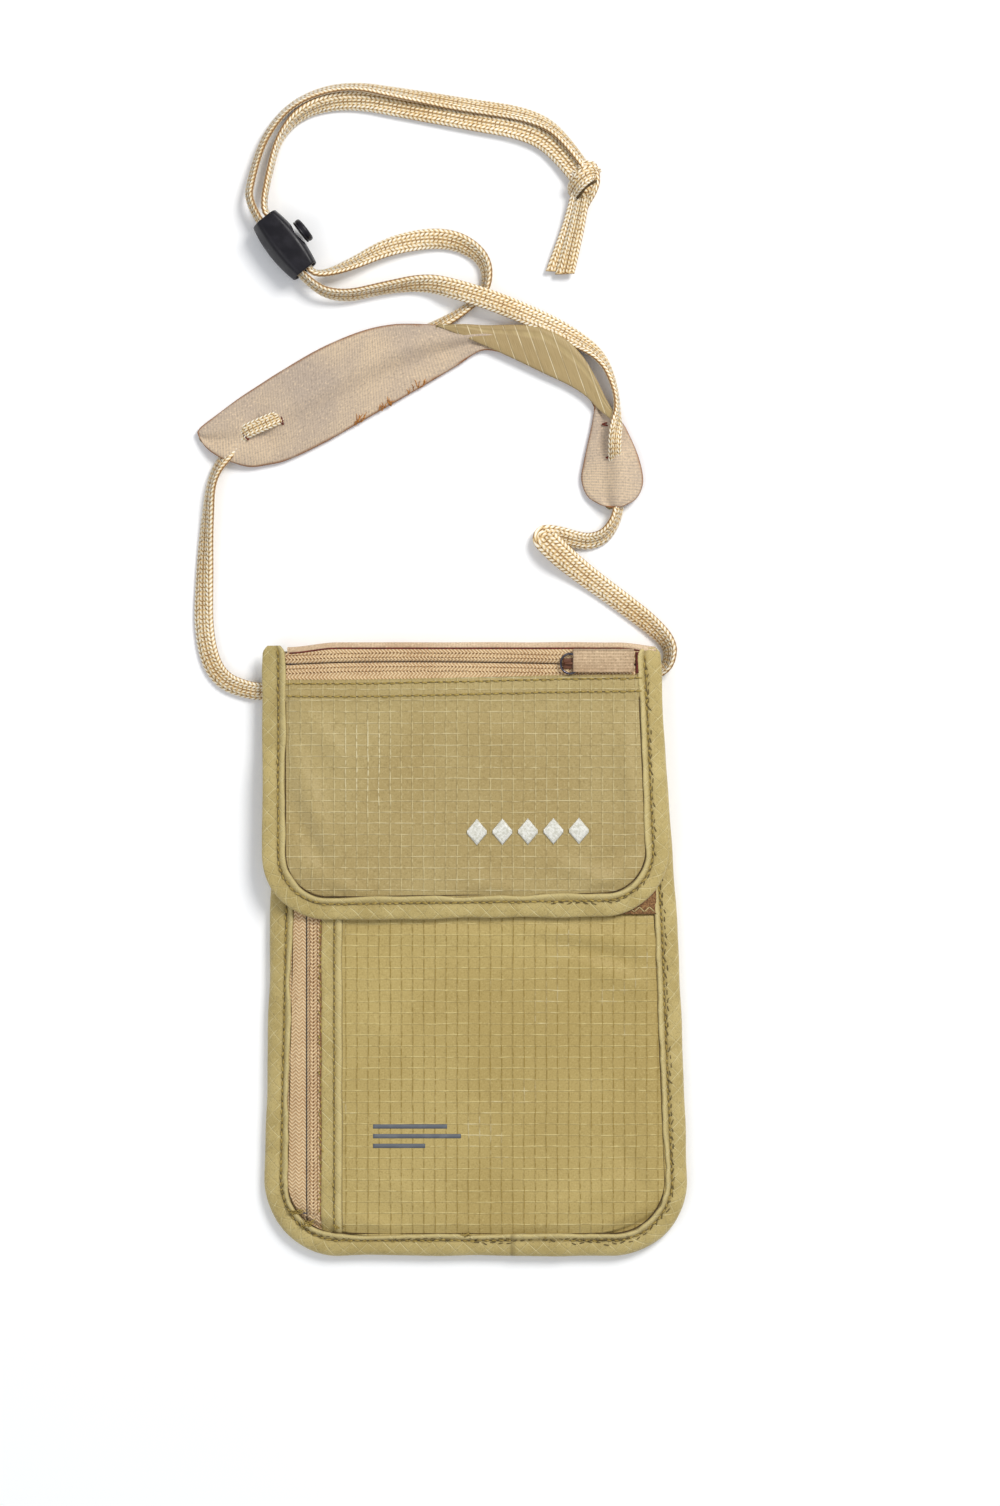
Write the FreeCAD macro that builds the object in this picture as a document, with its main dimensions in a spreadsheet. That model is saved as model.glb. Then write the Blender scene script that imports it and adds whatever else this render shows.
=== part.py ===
import FreeCAD, Part
import math
import os

import Sketcher

# A neck pouch lying on its back: +X to the wearer's left, +Y to the neck, +Z up from the table.
# The origin is on the table, under the middle of the pouch. All lengths are in millimetres.

doc = FreeCAD.newDocument("NeckPouch")
sheet = doc.addObject("Spreadsheet::Sheet", "Sizes")

SIZES = [
    # The pouch's outline: a tall trapezium with two rounded bottom corners.
    ("top_left_x", -63.7),
    ("bottom_left_x", -67.8),
    ("top_right_x", 58.4),
    ("middle_right_x", 64.5),
    ("bottom_right_x", 68.73),
    ("middle_right_y", 9.3),
    ("bottom_y", -97.9),
    ("top_y", 95.2),
    ("body_corner", 24.0),
    ("binding_width", 7.0),
    # The flap's outline.
    ("flap_left_x", -67.8),
    ("flap_top_right_x", 58.8),
    ("flap_bottom_right_x", 62.6),
    ("flap_bottom_left_y", 9.2),
    ("flap_bottom_right_y", 11.0),
    ("flap_top_y", 95.2),
    ("flap_corner", 21.0),
    # Heights of the layers, from the table up.
    ("back_top", 0.6),
    ("back_liner_top", 0.75),
    ("middle_bottom", 4.95),
    ("middle_top", 5.3),
    ("front_liner_top", 5.4),
    ("side_coil_bottom", 5.95),
    ("side_tape_bottom", 6.4),
    ("front_top", 6.8),
    ("loop_top", 7.5),
    ("hook_bottom", 7.8),
    ("lining_bottom", 8.5),
    ("lining_top", 8.8),
    ("flap_coil_bottom", 9.3),
    ("flap_tape_bottom", 9.75),
    ("flap_top", 10.15),
    ("body_binding_top", 6.9),
    ("flap_binding_bottom", 8.5),
    ("flap_binding_top", 10.3),
    # The folded top edge, which is the flap's hinge.
    ("fold_radius", 1.2),
    ("fold_y", 96.7),
    ("fold_z", 8.3),
    ("fold_left_x", -62.0),
    ("fold_right_x", 57.0),
    # The back compartment's mouth is above the edge of the middle panel.
    ("middle_panel_y", 62.0),
    # The side zip, along Y, at the left of the pouch.
    ("side_slit_x", -53.8),
    ("slit_gap", 0.6),
    ("coil_width", 1.5),
    ("side_zip_top_y", 60.0),
    ("side_slider_y", 50.0),
    ("placket_left_x", -49.0),
    ("placket_right_x", -42.6),
    ("placket_top", 7.0),
    ("front_panel_top_y", 11.4),
    # The flap's zip, along X, near the fold.
    ("flap_slit_y", 91.2),
    ("flap_tape_low_y", 86.0),
    ("flap_tape_high_y", 95.2),
    ("flap_zip_left_x", -60.8),
    ("flap_zip_right_x", 51.6),
    ("flap_slider_x", 29.0),
    ("slider_length", 8.6),
    ("slider_width", 6.4),
    ("slider_plate", 0.5),
    ("slider_lower_plate", 0.3),
    ("slider_web", 0.3),
    ("slider_clearance", 0.1),
    ("bridge_height", 0.7),
    ("bridge_width", 1.4),
    ("ring_radius", 2.7),
    ("ring_wire", 0.35),
    ("tab_length", 19.0),
    ("tab_width", 6.6),
    ("tab_thickness", 0.5),
    ("stop_size", 2.6),
    # The hook and loop strips.
    ("loop_left_x", -40.0),
    ("loop_right_x", 56.5),
    ("loop_width", 11.0),
    ("hook_left_x", -38.0),
    ("hook_right_x", 46.0),
    # The cord, a flat braid shown as a round tube of the same section area.
    ("cord_diameter", 3.5),
    ("cord_width", 6.4),
    ("cord_thickness", 1.5),
    ("anchor_depth", 4.0),
    ("left_anchor_y", 82.5),
    ("right_anchor_y", 89.0),
    ("anchor_z", 2.6),
    # The neck pad.
    ("pad_bottom", 3.9),
    ("pad_thickness", 1.8),
    ("pad_fold_thickness", 5.2),
    # The cord lock, a barrel with a push button across it.
    ("lock_x", -61.6),
    ("lock_y", 225.9),
    ("lock_turn", 128.1),
    ("lock_length", 21.0),
    ("lock_end_radius", 4.9),
    ("lock_radius", 6.0),
    ("lock_window_width", 8.8),
    ("lock_window_height", 4.4),
    ("button_radius", 4.0),
    ("button_clearance", 0.25),
    ("button_proud", 2.6),
    ("prong_length", 10.4),
    ("button_cap", 1.3),
    ("button_bore_end", 5.2),
    ("spring_outer", 2.0),
    ("spring_inner", 1.3),
    ("spring_length", 1.1),
    # The knot that ties the two ends.
    ("knot_x", 34.4),
    ("knot_y", 245.4),
    ("knot_half_width", 5.0),
    ("knot_half_length", 6.6),
    ("knot_half_height", 3.6),
]

for row, (alias, amount) in enumerate(SIZES, start=1):
    sheet.set(f"A{row}", alias.replace("_", " "))
    sheet.set(f"B{row}", str(amount))
    sheet.setAlias(f"B{row}", alias)
doc.recompute()


class Length:
    """A number and the spreadsheet expression that gives it, so that sums stay bound."""

    def __init__(self, value, text):
        self.value = value
        self.text = text

    def __add__(self, other):
        other = as_length(other)
        return Length(self.value + other.value, f"({self.text} + {other.text})")

    def __sub__(self, other):
        other = as_length(other)
        return Length(self.value - other.value, f"({self.text} - {other.text})")

    def __mul__(self, factor):
        return Length(self.value * factor, f"({self.text} * {factor})")

    def __neg__(self):
        return self * -1


def as_length(number):
    if isinstance(number, Length):
        return number
    return Length(float(number), f"({float(number)})")


def size(alias):
    """A size from the spreadsheet, as a Length."""
    return Length(float(sheet.get(alias)), f"Sizes.{alias}")


def bind(thing, path, length):
    """Bind a property such as Placement.Base.x to a Length."""
    thing.setExpression(path, as_length(length).text)


PARTS = []


def keep(thing, label):
    """Name a finished sub-part; its label is also its file's name."""
    thing.Label = label
    PARTS.append(thing)
    return thing


def origin_plane(body, role):
    return next(f for f in body.Origin.OriginFeatures if f.Role == role)


def polygon_sketch(body, name, role, corners):
    """A closed polygon, each corner held at its two distances from the sketch's origin."""
    sketch = body.newObject("Sketcher::SketchObject", name)
    sketch.AttachmentSupport = (origin_plane(body, role), [""])
    sketch.MapMode = "FlatFace"
    points = [FreeCAD.Vector(x.value, y.value, 0) for x, y in corners]
    count = len(points)
    for i in range(count):
        sketch.addGeometry(Part.LineSegment(points[i], points[(i + 1) % count]), False)
    for i in range(count):
        sketch.addConstraint(Sketcher.Constraint("Coincident", i, 2, (i + 1) % count, 1))
    for i, (x, y) in enumerate(corners):
        for kind, length in (("DistanceX", x), ("DistanceY", y)):
            held = sketch.addConstraint(
                Sketcher.Constraint(kind, -1, 1, i, 1, length.value)
            )
            sketch.setExpression(f"Constraints[{held}]", length.text)
    return sketch


def upright_edges(shape, corner):
    """The names of the vertical edges that stand on a corner."""
    names = []
    for number, edge in enumerate(shape.Edges, start=1):
        ends = [vertex.Point for vertex in edge.Vertexes]
        on_corner = all(
            math.hypot(p.x - corner[0].value, p.y - corner[1].value) < 0.01 for p in ends
        )
        if len(ends) == 2 and on_corner and abs(ends[0].z - ends[1].z) > 0.01:
            names.append(f"Edge{number}")
    return names


def plate(label, corners, bottom, top, rounds=()):
    """A flat piece with a polygon outline; rounds lists (corner number, radius)."""
    body = doc.addObject("PartDesign::Body", f"{label}_body")
    corners = [(as_length(x), as_length(y)) for x, y in corners]
    bottom = as_length(bottom)
    sketch = polygon_sketch(body, f"{label}_outline", "XY_Plane", corners)
    pad = body.newObject("PartDesign::Pad", f"{label}_pad")
    pad.Profile = sketch
    bind(pad, "Length", as_length(top) - bottom)
    doc.recompute()
    last = pad
    for number, radius in rounds:
        fillet = body.newObject("PartDesign::Fillet", f"{label}_round_{number}")
        fillet.Base = (last, upright_edges(last.Shape, corners[number]))
        bind(fillet, "Radius", radius)
        body.Tip = last = fillet
        doc.recompute()
    bind(body, "Placement.Base.z", bottom)
    return keep(body, label)


def box(name, x, y, z, length, width, height):
    """A Part::Box from its low corner and its three sides."""
    made = doc.addObject("Part::Box", name)
    bind(made, "Length", length)
    bind(made, "Width", width)
    bind(made, "Height", height)
    bind(made, "Placement.Base.x", x)
    bind(made, "Placement.Base.y", y)
    bind(made, "Placement.Base.z", z)
    return made


def block(label, x, y, z, length, width, height):
    """A sub-part that is a plain box."""
    return keep(box(f"{label}_box", x, y, z, length, width, height), label)


def fused(name, shapes):
    made = doc.addObject("Part::MultiFuse", name)
    made.Shapes = shapes
    return made


def cut(name, base, tool):
    made = doc.addObject("Part::Cut", name)
    made.Base = base
    made.Tool = tool
    return made


# ---------------------------------------------------------------- the pouch's outline

binding = size("binding_width")
half_radius = size("cord_diameter") * 0.5


def left_edge_x(y):
    """X of the pouch's left edge at a height; the edge runs straight from corner to corner."""
    share = (size("top_y").value - y) / (size("top_y").value - size("bottom_y").value)
    return size("top_left_x") + (size("bottom_left_x") - size("top_left_x")) * share


BODY_OUTER = [
    (size("top_left_x"), size("top_y")),
    (size("bottom_left_x"), size("bottom_y")),
    (size("bottom_right_x"), size("bottom_y")),
    (size("middle_right_x"), size("middle_right_y")),
    (size("top_right_x"), size("top_y")),
]
BODY_INNER = [
    (size("top_left_x") + binding, size("top_y")),
    (size("bottom_left_x") + binding, size("bottom_y") + binding),
    (size("bottom_right_x") - binding, size("bottom_y") + binding),
    (size("middle_right_x") - binding, size("middle_right_y")),
    (size("top_right_x") - binding, size("top_y")),
]
body_inner_corner = size("body_corner") - binding

FLAP_OUTER = [
    (size("flap_left_x"), size("flap_top_y")),
    (size("flap_left_x"), size("flap_bottom_left_y")),
    (size("flap_bottom_right_x"), size("flap_bottom_right_y")),
    (size("flap_top_right_x"), size("flap_top_y")),
]
FLAP_INNER = [
    (size("flap_left_x") + binding, size("flap_top_y")),
    (size("flap_left_x") + binding, size("flap_bottom_left_y") + binding),
    (size("flap_bottom_right_x") - binding, size("flap_bottom_right_y") + binding),
    (size("flap_top_right_x") - binding, size("flap_top_y")),
]
flap_inner_corner = size("flap_corner") - binding

# ---------------------------------------------------------------- the layers of the pouch

plate(
    "back_panel",
    BODY_INNER,
    0.0,
    size("back_top"),
    [(1, body_inner_corner), (2, body_inner_corner)],
)
plate(
    "rfid_liner_back",
    [
        (left_edge_x(62.0) + binding + 1.0, size("middle_panel_y")),
        (size("bottom_left_x") + binding + 2.0, size("bottom_y") + binding + 1.0),
        (size("bottom_right_x") - binding - 2.0, size("bottom_y") + binding + 1.0),
        (size("top_right_x") - binding - 2.0, size("middle_panel_y")),
    ],
    size("back_top"),
    size("back_liner_top"),
    [(1, body_inner_corner), (2, body_inner_corner)],
)
plate(
    "middle_panel",
    [
        (left_edge_x(62.0) + binding, size("middle_panel_y")),
        BODY_INNER[1],
        BODY_INNER[2],
        BODY_INNER[3],
        (size("top_right_x") - binding + 2.0, size("middle_panel_y")),
    ],
    size("middle_bottom"),
    size("middle_top"),
    [(1, body_inner_corner), (2, body_inner_corner)],
)
plate(
    "rfid_liner_front",
    [
        (left_edge_x(62.0) + binding + 1.0, size("middle_panel_y") - 3.0),
        (size("bottom_left_x") + binding + 2.0, size("bottom_y") + binding + 1.0),
        (size("bottom_right_x") - binding - 2.0, size("bottom_y") + binding + 1.0),
        (size("top_right_x") - binding - 2.0, size("middle_panel_y") - 3.0),
    ],
    size("middle_top"),
    size("front_liner_top"),
    [(1, body_inner_corner), (2, body_inner_corner)],
)
plate(
    "front_panel",
    [
        (size("placket_right_x"), size("front_panel_top_y")),
        (size("placket_right_x"), size("bottom_y") + binding),
        BODY_INNER[2],
        (size("middle_right_x") - binding - 0.2, size("front_panel_top_y")),
    ],
    size("side_tape_bottom"),
    size("front_top"),
    [(2, body_inner_corner)],
)
plate(
    "zip_placket",
    [
        (size("placket_left_x"), size("side_zip_top_y")),
        (size("placket_left_x"), size("bottom_y") + binding + 1.0),
        (size("placket_right_x"), size("bottom_y") + binding),
        (size("placket_right_x"), size("side_zip_top_y")),
    ],
    size("side_tape_bottom"),
    size("placket_top"),
)

# The edge binding: one tape round the left side, the bottom and the right side.
u_corners = BODY_OUTER + BODY_INNER[::-1]
body_tape = plate(
    "body_binding_tape",
    u_corners,
    0.0,
    size("body_binding_top"),
    [
        (1, size("body_corner")),
        (2, size("body_corner")),
        (7, body_inner_corner),
        (8, body_inner_corner),
    ],
)
PARTS.remove(body_tape)


# The sewn-in ends of the cord lie flat in the side seams, each in a pocket of the binding.
def anchor_box(name, side, y, edge_x):
    depth = size("anchor_depth")
    low_x = edge_x if side < 0 else edge_x - depth
    return box(
        name,
        low_x,
        y - size("cord_width") * 0.5,
        size("anchor_z") - size("cord_thickness") * 0.5,
        depth,
        size("cord_width"),
        size("cord_thickness"),
    )


left_seam_x = left_edge_x(82.5) + 0.4
right_seam_x = size("top_right_x") - 0.2
anchor_pockets = fused(
    "anchor_pockets",
    [
        anchor_box("left_pocket", -1, size("left_anchor_y"), left_seam_x),
        anchor_box("right_pocket", 1, size("right_anchor_y"), right_seam_x),
    ],
)
keep(cut("body_binding_cut", body_tape, anchor_pockets), "body_binding")
keep(
    anchor_box("left_anchor_box", -1, size("left_anchor_y"), left_seam_x),
    "cord_anchor_left",
)
keep(
    anchor_box("right_anchor_box", 1, size("right_anchor_y"), right_seam_x),
    "cord_anchor_right",
)

# The back fabric rolls up over the top edge and closes the pouch there.
top_wall = box(
    "top_wall",
    size("fold_left_x"),
    size("top_y"),
    0.0,
    size("fold_right_x") - size("fold_left_x"),
    size("fold_y") + size("fold_radius") - size("top_y"),
    size("fold_z") - size("fold_radius") - 0.4,
)
top_round = doc.addObject("Part::Fillet", "top_round")
top_round.Base = top_wall
doc.recompute()
long_top_edges = [
    (number, 1.2, 1.2)
    for number, edge in enumerate(top_wall.Shape.Edges, start=1)
    if edge.BoundBox.XLength > 50 and edge.CenterOfMass.y > size("fold_y").value
]
top_round.Edges = long_top_edges
keep(top_round, "back_roll")

block(
    "loop_strip",
    size("loop_left_x"),
    size("front_panel_top_y"),
    size("front_liner_top"),
    size("loop_right_x") - size("loop_left_x"),
    size("loop_width"),
    size("loop_top") - size("front_liner_top"),
)

# ---------------------------------------------------------------- the side zip

zip_bottom_y = size("bottom_y") + binding
left_tape_x = size("side_slit_x") - size("slit_gap") * 0.5
right_tape_x = size("side_slit_x") + size("slit_gap") * 0.5
plate(
    "side_zip_tape_left",
    [
        (left_tape_x, size("side_zip_top_y")),
        (left_edge_x(60.0) + binding, size("side_zip_top_y")),
        (left_edge_x(-70.0) + binding + 0.1, zip_bottom_y + 20.0),
        (left_edge_x(-70.0) + binding + 1.6, zip_bottom_y + 9.0),
        (left_tape_x, zip_bottom_y + 4.0),
    ],
    size("side_tape_bottom"),
    size("front_top"),
)
plate(
    "side_zip_tape_right",
    [
        (size("placket_left_x"), size("side_zip_top_y")),
        (right_tape_x, size("side_zip_top_y")),
        (right_tape_x, zip_bottom_y + 4.0),
        (size("placket_left_x"), zip_bottom_y + 1.0),
    ],
    size("side_tape_bottom"),
    size("front_top"),
)
coil_bottom_y = zip_bottom_y + 9.0
coil_height = size("side_tape_bottom") - size("side_coil_bottom")
coil_length = size("side_zip_top_y") - coil_bottom_y - 4.0
block(
    "side_zip_coil_left",
    left_tape_x - size("coil_width"),
    coil_bottom_y,
    size("side_coil_bottom"),
    size("coil_width"),
    coil_length,
    coil_height,
)
block(
    "side_zip_coil_right",
    right_tape_x,
    coil_bottom_y,
    size("side_coil_bottom"),
    size("coil_width"),
    coil_length,
    coil_height,
)
# The bottom stop joins the two tapes below the coils.
block(
    "side_zip_stop",
    size("side_slit_x") - size("stop_size") * 0.5,
    coil_bottom_y - 2.0,
    size("side_coil_bottom"),
    size("stop_size"),
    1.8,
    coil_height,
)


def slider(label, along_x, x, y, tape_bottom, tape_top, coil_bottom):
    """A zip slider: a plate above the tape, a thin web in the slit and a plate below the coils."""
    long_side = size("slider_length")
    wide_side = size("slider_width")
    gap = size("slider_clearance")
    web = size("slider_web")

    def laid(name, length, width, z, height):
        """A box centred on the slider, turned along the zip."""
        dx, dy = (length, width) if along_x else (width, length)
        return box(name, x - dx * 0.5, y - dy * 0.5, z, dx, dy, height)

    top = tape_top + gap
    low = coil_bottom - gap - size("slider_lower_plate")
    plates = [
        laid(f"{label}_upper", long_side, wide_side, top, size("slider_plate")),
        laid(f"{label}_web", long_side * 0.6, web, low, top - low + 0.1),
        laid(
            f"{label}_lower",
            long_side * 0.8,
            wide_side * 0.8,
            low,
            size("slider_lower_plate"),
        ),
        laid(
            f"{label}_bridge_a",
            size("bridge_width"),
            1.0,
            top + size("slider_plate") - 0.1,
            size("bridge_height") + 0.1,
        ),
    ]
    return keep(fused(f"{label}_fused", plates), label)


def pull(ring_label, tab_label, x, y, z, direction, tab_length, tab_width):
    """A wire ring at the slider's bridge and a folded ribbon tab beyond it."""
    ring = doc.addObject("Part::Torus", f"{ring_label}_torus")
    bind(ring, "Radius1", size("ring_radius"))
    bind(ring, "Radius2", size("ring_wire"))
    reach = size("ring_radius") + size("ring_wire") + 0.9
    bind(ring, "Placement.Base.x", x + reach * direction[0])
    bind(ring, "Placement.Base.y", y + reach * direction[1])
    bind(ring, "Placement.Base.z", z)
    keep(ring, ring_label)
    start = reach + size("ring_radius") + size("ring_wire")
    thick = size("tab_thickness")
    centre_x = x + (start + tab_length * 0.5) * direction[0]
    centre_y = y + (start + tab_length * 0.5) * direction[1]
    dx = tab_length if direction[0] else tab_width
    dy = tab_width if direction[0] else tab_length
    block(
        tab_label,
        centre_x - dx * 0.5,
        centre_y - dy * 0.5,
        z - thick * 0.5,
        dx,
        dy,
        thick,
    )


# The rings lie just above their sliders' upper plates.
pull_height = (
    size("slider_clearance") * 2 + size("slider_plate") + size("ring_wire")
)
slider(
    "side_zip_slider",
    False,
    size("side_slit_x"),
    size("side_slider_y"),
    size("side_tape_bottom"),
    size("front_top"),
    size("side_coil_bottom"),
)
pull(
    "side_zip_ring",
    "side_zip_tab",
    size("side_slit_x"),
    size("side_slider_y") - 0.6,
    size("front_top") + pull_height,
    (0, -1),
    size("tab_length") * 0.7,
    size("tab_width") * 0.7,
)

# ---------------------------------------------------------------- the flap

plate(
    "flap_lining",
    FLAP_INNER,
    size("lining_bottom"),
    size("lining_top"),
    [(1, flap_inner_corner), (2, flap_inner_corner)],
)
flap_panel_top = size("flap_tape_low_y")
plate(
    "flap_panel",
    [
        (FLAP_INNER[0][0], flap_panel_top),
        FLAP_INNER[1],
        FLAP_INNER[2],
        (FLAP_INNER[3][0] + 0.3, flap_panel_top),
    ],
    size("flap_tape_bottom"),
    size("flap_top"),
    [(1, flap_inner_corner), (2, flap_inner_corner)],
)
plate(
    "flap_binding",
    FLAP_OUTER + FLAP_INNER[::-1],
    size("flap_binding_bottom"),
    size("flap_binding_top"),
    [
        (1, size("flap_corner")),
        (2, size("flap_corner")),
        (5, flap_inner_corner),
        (6, flap_inner_corner),
    ],
)
flap_zip_length = size("flap_zip_right_x") - size("flap_zip_left_x")
low_tape_y = size("flap_slit_y") - size("slit_gap") * 0.5
high_tape_y = size("flap_slit_y") + size("slit_gap") * 0.5
tape_thickness = size("flap_top") - size("flap_tape_bottom")
block(
    "flap_zip_tape_lower",
    size("flap_zip_left_x"),
    flap_panel_top,
    size("flap_tape_bottom"),
    flap_zip_length,
    low_tape_y - flap_panel_top,
    tape_thickness,
)
block(
    "flap_zip_tape_upper",
    size("flap_zip_left_x"),
    high_tape_y,
    size("flap_tape_bottom"),
    flap_zip_length,
    size("flap_tape_high_y") - high_tape_y,
    tape_thickness,
)
flap_coil_height = size("flap_tape_bottom") - size("flap_coil_bottom")
coil_left_x = size("flap_zip_left_x") + 4.0
block(
    "flap_zip_coil_lower",
    coil_left_x,
    low_tape_y - size("coil_width"),
    size("flap_coil_bottom"),
    flap_zip_length - 8.0,
    size("coil_width"),
    flap_coil_height,
)
block(
    "flap_zip_coil_upper",
    coil_left_x,
    high_tape_y,
    size("flap_coil_bottom"),
    flap_zip_length - 8.0,
    size("coil_width"),
    flap_coil_height,
)
block(
    "flap_zip_stop",
    coil_left_x - 2.0,
    size("flap_slit_y") - size("stop_size") * 0.5,
    size("flap_coil_bottom"),
    1.8,
    size("stop_size"),
    flap_coil_height,
)
block(
    "hook_strip",
    size("hook_left_x"),
    size("front_panel_top_y") + 6.5,
    size("hook_bottom"),
    size("hook_right_x") - size("hook_left_x"),
    size("loop_width") - 1.0,
    size("lining_bottom") - size("hook_bottom"),
)

# The fold that the flap turns on: a soft bead round the hinge line.
fold = doc.addObject("Part::Cylinder", "fold_bead")
bind(fold, "Radius", size("fold_radius"))
bind(fold, "Height", size("fold_right_x") - size("fold_left_x"))
fold.Placement.Rotation = FreeCAD.Rotation(FreeCAD.Vector(0, 1, 0), 90)
bind(fold, "Placement.Base.x", size("fold_left_x"))
bind(fold, "Placement.Base.y", size("fold_y"))
bind(fold, "Placement.Base.z", size("fold_z"))
flap_space = box(
    "flap_space",
    size("fold_left_x") - 1.0,
    size("fold_y") - 4.0,
    size("lining_bottom"),
    size("fold_right_x") - size("fold_left_x") + 2.0,
    size("flap_top_y") - size("fold_y") + 4.0,
    4.0,
)
keep(cut("fold_cut", fold, flap_space), "flap_fold")

slider(
    "flap_zip_slider",
    True,
    size("flap_slider_x"),
    size("flap_slit_y"),
    size("flap_tape_bottom"),
    size("flap_top"),
    size("flap_coil_bottom"),
)
pull(
    "flap_zip_ring",
    "flap_zip_tab",
    size("flap_slider_x") - 3.4,
    size("flap_slit_y"),
    size("flap_top") + pull_height,
    (1, 0),
    size("tab_length"),
    size("tab_width"),
)

# ---------------------------------------------------------------- the cord

# Each stretch of cord is a route of points: straight runs, rounded into one another by arcs
# as large as the runs allow. Heights are those of the cord's middle over the table.
LYING = 1.8
IN_LOCK = 6.05
OVER = 5.6

LEFT_LOWER = [
    (-64.4, 82.5, 2.6),
    (-72.0, 82.3, 1.9),
    (-82.5, 86.5, LYING),
    (-87.0, 99.0, LYING),
    (-86.8, 118.0, LYING),
    (-85.7, 138.0, LYING),
    (-84.5, 151.0, LYING),
    (-78.5, 159.5, LYING),
    (-72.5, 164.3, LYING),
]
LEFT_UPPER = [
    (-62.0, 169.5, LYING),
    (-48.0, 177.5, LYING),
    (-32.0, 188.5, LYING),
    (-16.0, 197.5, LYING),
    (-3.0, 204.3, LYING),
    (4.0, 211.0, LYING),
    (3.0, 221.5, LYING),
    (-9.0, 228.0, LYING),
    (-27.0, 225.3, 2.2),
    (-41.5, 218.2, 4.0),
    (-50.9, 215.7, IN_LOCK),
    (-68.9, 238.6, IN_LOCK),
    (-66.2, 248.5, 3.0),
    (-62.5, 260.5, LYING),
    (-54.0, 269.0, LYING),
    (-40.0, 272.4, LYING),
    (-20.0, 268.5, LYING),
    (0.0, 264.3, LYING),
    (16.0, 261.5, LYING),
    (25.5, 255.8, LYING),
    (32.0, 246.2, 2.6),
]
RIGHT_UPPER = [
    (45.4, 168.6, LYING),
    (44.3, 179.5, LYING),
    (40.5, 189.5, LYING),
    (29.5, 196.5, LYING),
    (17.5, 202.4, 2.0),
    (6.0, 206.8, OVER),
    (-5.0, 210.3, OVER),
    (-16.0, 213.8, 2.2),
    (-29.0, 211.0, LYING),
    (-43.5, 208.8, 3.0),
    (-54.2, 213.1, IN_LOCK),
    (-73.8, 238.1, IN_LOCK),
    (-72.0, 248.5, 3.0),
    (-67.5, 261.5, LYING),
    (-58.0, 272.5, LYING),
    (-41.5, 277.8, LYING),
    (-22.0, 273.5, LYING),
    (0.0, 269.8, LYING),
    (17.5, 268.2, LYING),
    (28.0, 261.0, LYING),
    (36.2, 248.0, 2.6),
]
RIGHT_LOWER = [
    (44.6, 156.4, LYING),
    (45.2, 149.5, LYING),
    (45.6, 140.5, LYING),
    (42.0, 132.6, LYING),
    (34.5, 129.4, LYING),
    (29.3, 131.3, LYING),
    (23.8, 134.0, LYING),
    (19.7, 131.7, LYING),
    (20.3, 127.5, LYING),
    (26.5, 124.8, LYING),
    (36.0, 118.3, LYING),
    (46.5, 111.2, LYING),
    (56.0, 104.0, LYING),
    (62.2, 97.5, 2.0),
    (62.9, 91.6, 2.5),
    (60.4, 89.2, 2.6),
]
TAIL_LEFT = [
    (32.2, 243.0, 3.0),
    (30.8, 234.5, LYING),
    (28.8, 226.5, LYING),
    (25.0, 217.2, LYING),
]
TAIL_RIGHT = [
    (36.2, 242.6, 3.0),
    (34.8, 233.8, LYING),
    (32.8, 225.6, LYING),
    (29.0, 216.0, LYING),
]


def cord_path(route):
    """A wire of straight runs and tangent arcs along a route; also its smallest radius."""
    points = [FreeCAD.Vector(*p) for p in route]
    edges = []
    start = points[0]
    smallest = math.inf
    for before, corner, after in zip(points, points[1:], points[2:]):
        come = (before - corner).normalize()
        go = (after - corner).normalize()
        turn = math.pi - come.getAngle(go)
        shorter = min((before - corner).Length, (after - corner).Length)
        trim = 0.45 * shorter
        radius = trim / math.tan(turn / 2)
        smallest = min(smallest, radius)
        first = corner + come * trim
        last = corner + go * trim
        towards = (come + go).normalize()
        centre = corner + towards * math.hypot(radius, trim)
        middle = centre - towards * radius
        edges.append(Part.LineSegment(start, first).toShape())
        edges.append(Part.Arc(first, middle, last).toShape())
        start = last
    edges.append(Part.LineSegment(start, points[-1]).toShape())
    return Part.Wire(edges), smallest


def cord_tube(route, radius):
    """A round tube along a route."""
    path, smallest = cord_path(route)
    start = FreeCAD.Vector(*route[0])
    heading = FreeCAD.Vector(*route[1]) - start
    section = Part.Wire([Part.Circle(start, heading, radius).toShape()])
    tube = path.makePipeShell([section], True, True)
    return tube, path.Length, smallest


cord_radius = size("cord_diameter").value / 2

knot = doc.addObject("Part::Ellipsoid", "knot_ellipsoid")
bind(knot, "Radius1", size("knot_half_height"))
bind(knot, "Radius2", size("knot_half_width"))
bind(knot, "Radius3", size("knot_half_length"))
bind(knot, "Placement.Base.x", size("knot_x"))
bind(knot, "Placement.Base.y", size("knot_y"))
bind(knot, "Placement.Base.z", size("knot_half_height") + 0.1)
keep(knot, "cord_knot")
doc.recompute()

CORDS = {
    "cord_left_lower": (LEFT_LOWER, False),
    "cord_left_upper": (LEFT_UPPER, True),
    "cord_right_upper": (RIGHT_UPPER, True),
    "cord_right_lower": (RIGHT_LOWER, False),
    "cord_tail_left": (TAIL_LEFT, True),
    "cord_tail_right": (TAIL_RIGHT, True),
}
for label, (route, ends_in_knot) in CORDS.items():
    tube, length, smallest = cord_tube(route, cord_radius)
    expected = math.pi * cord_radius**2 * length
    print(
        f"{label}: length {length:.1f}, smallest radius {smallest:.1f}, "
        f"volume {tube.Volume:.0f} of {expected:.0f}"
    )
    if abs(tube.Volume - expected) > 0.02 * expected:
        raise RuntimeError(f"{label} has the wrong volume")
    if ends_in_knot:
        tube = tube.cut(knot.Shape)
        tube = max(tube.Solids, key=lambda solid: solid.Volume)
    feature = doc.addObject("Part::Feature", f"{label}_tube")
    feature.Shape = tube
    keep(feature, label)

# ---------------------------------------------------------------- the neck pad

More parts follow.
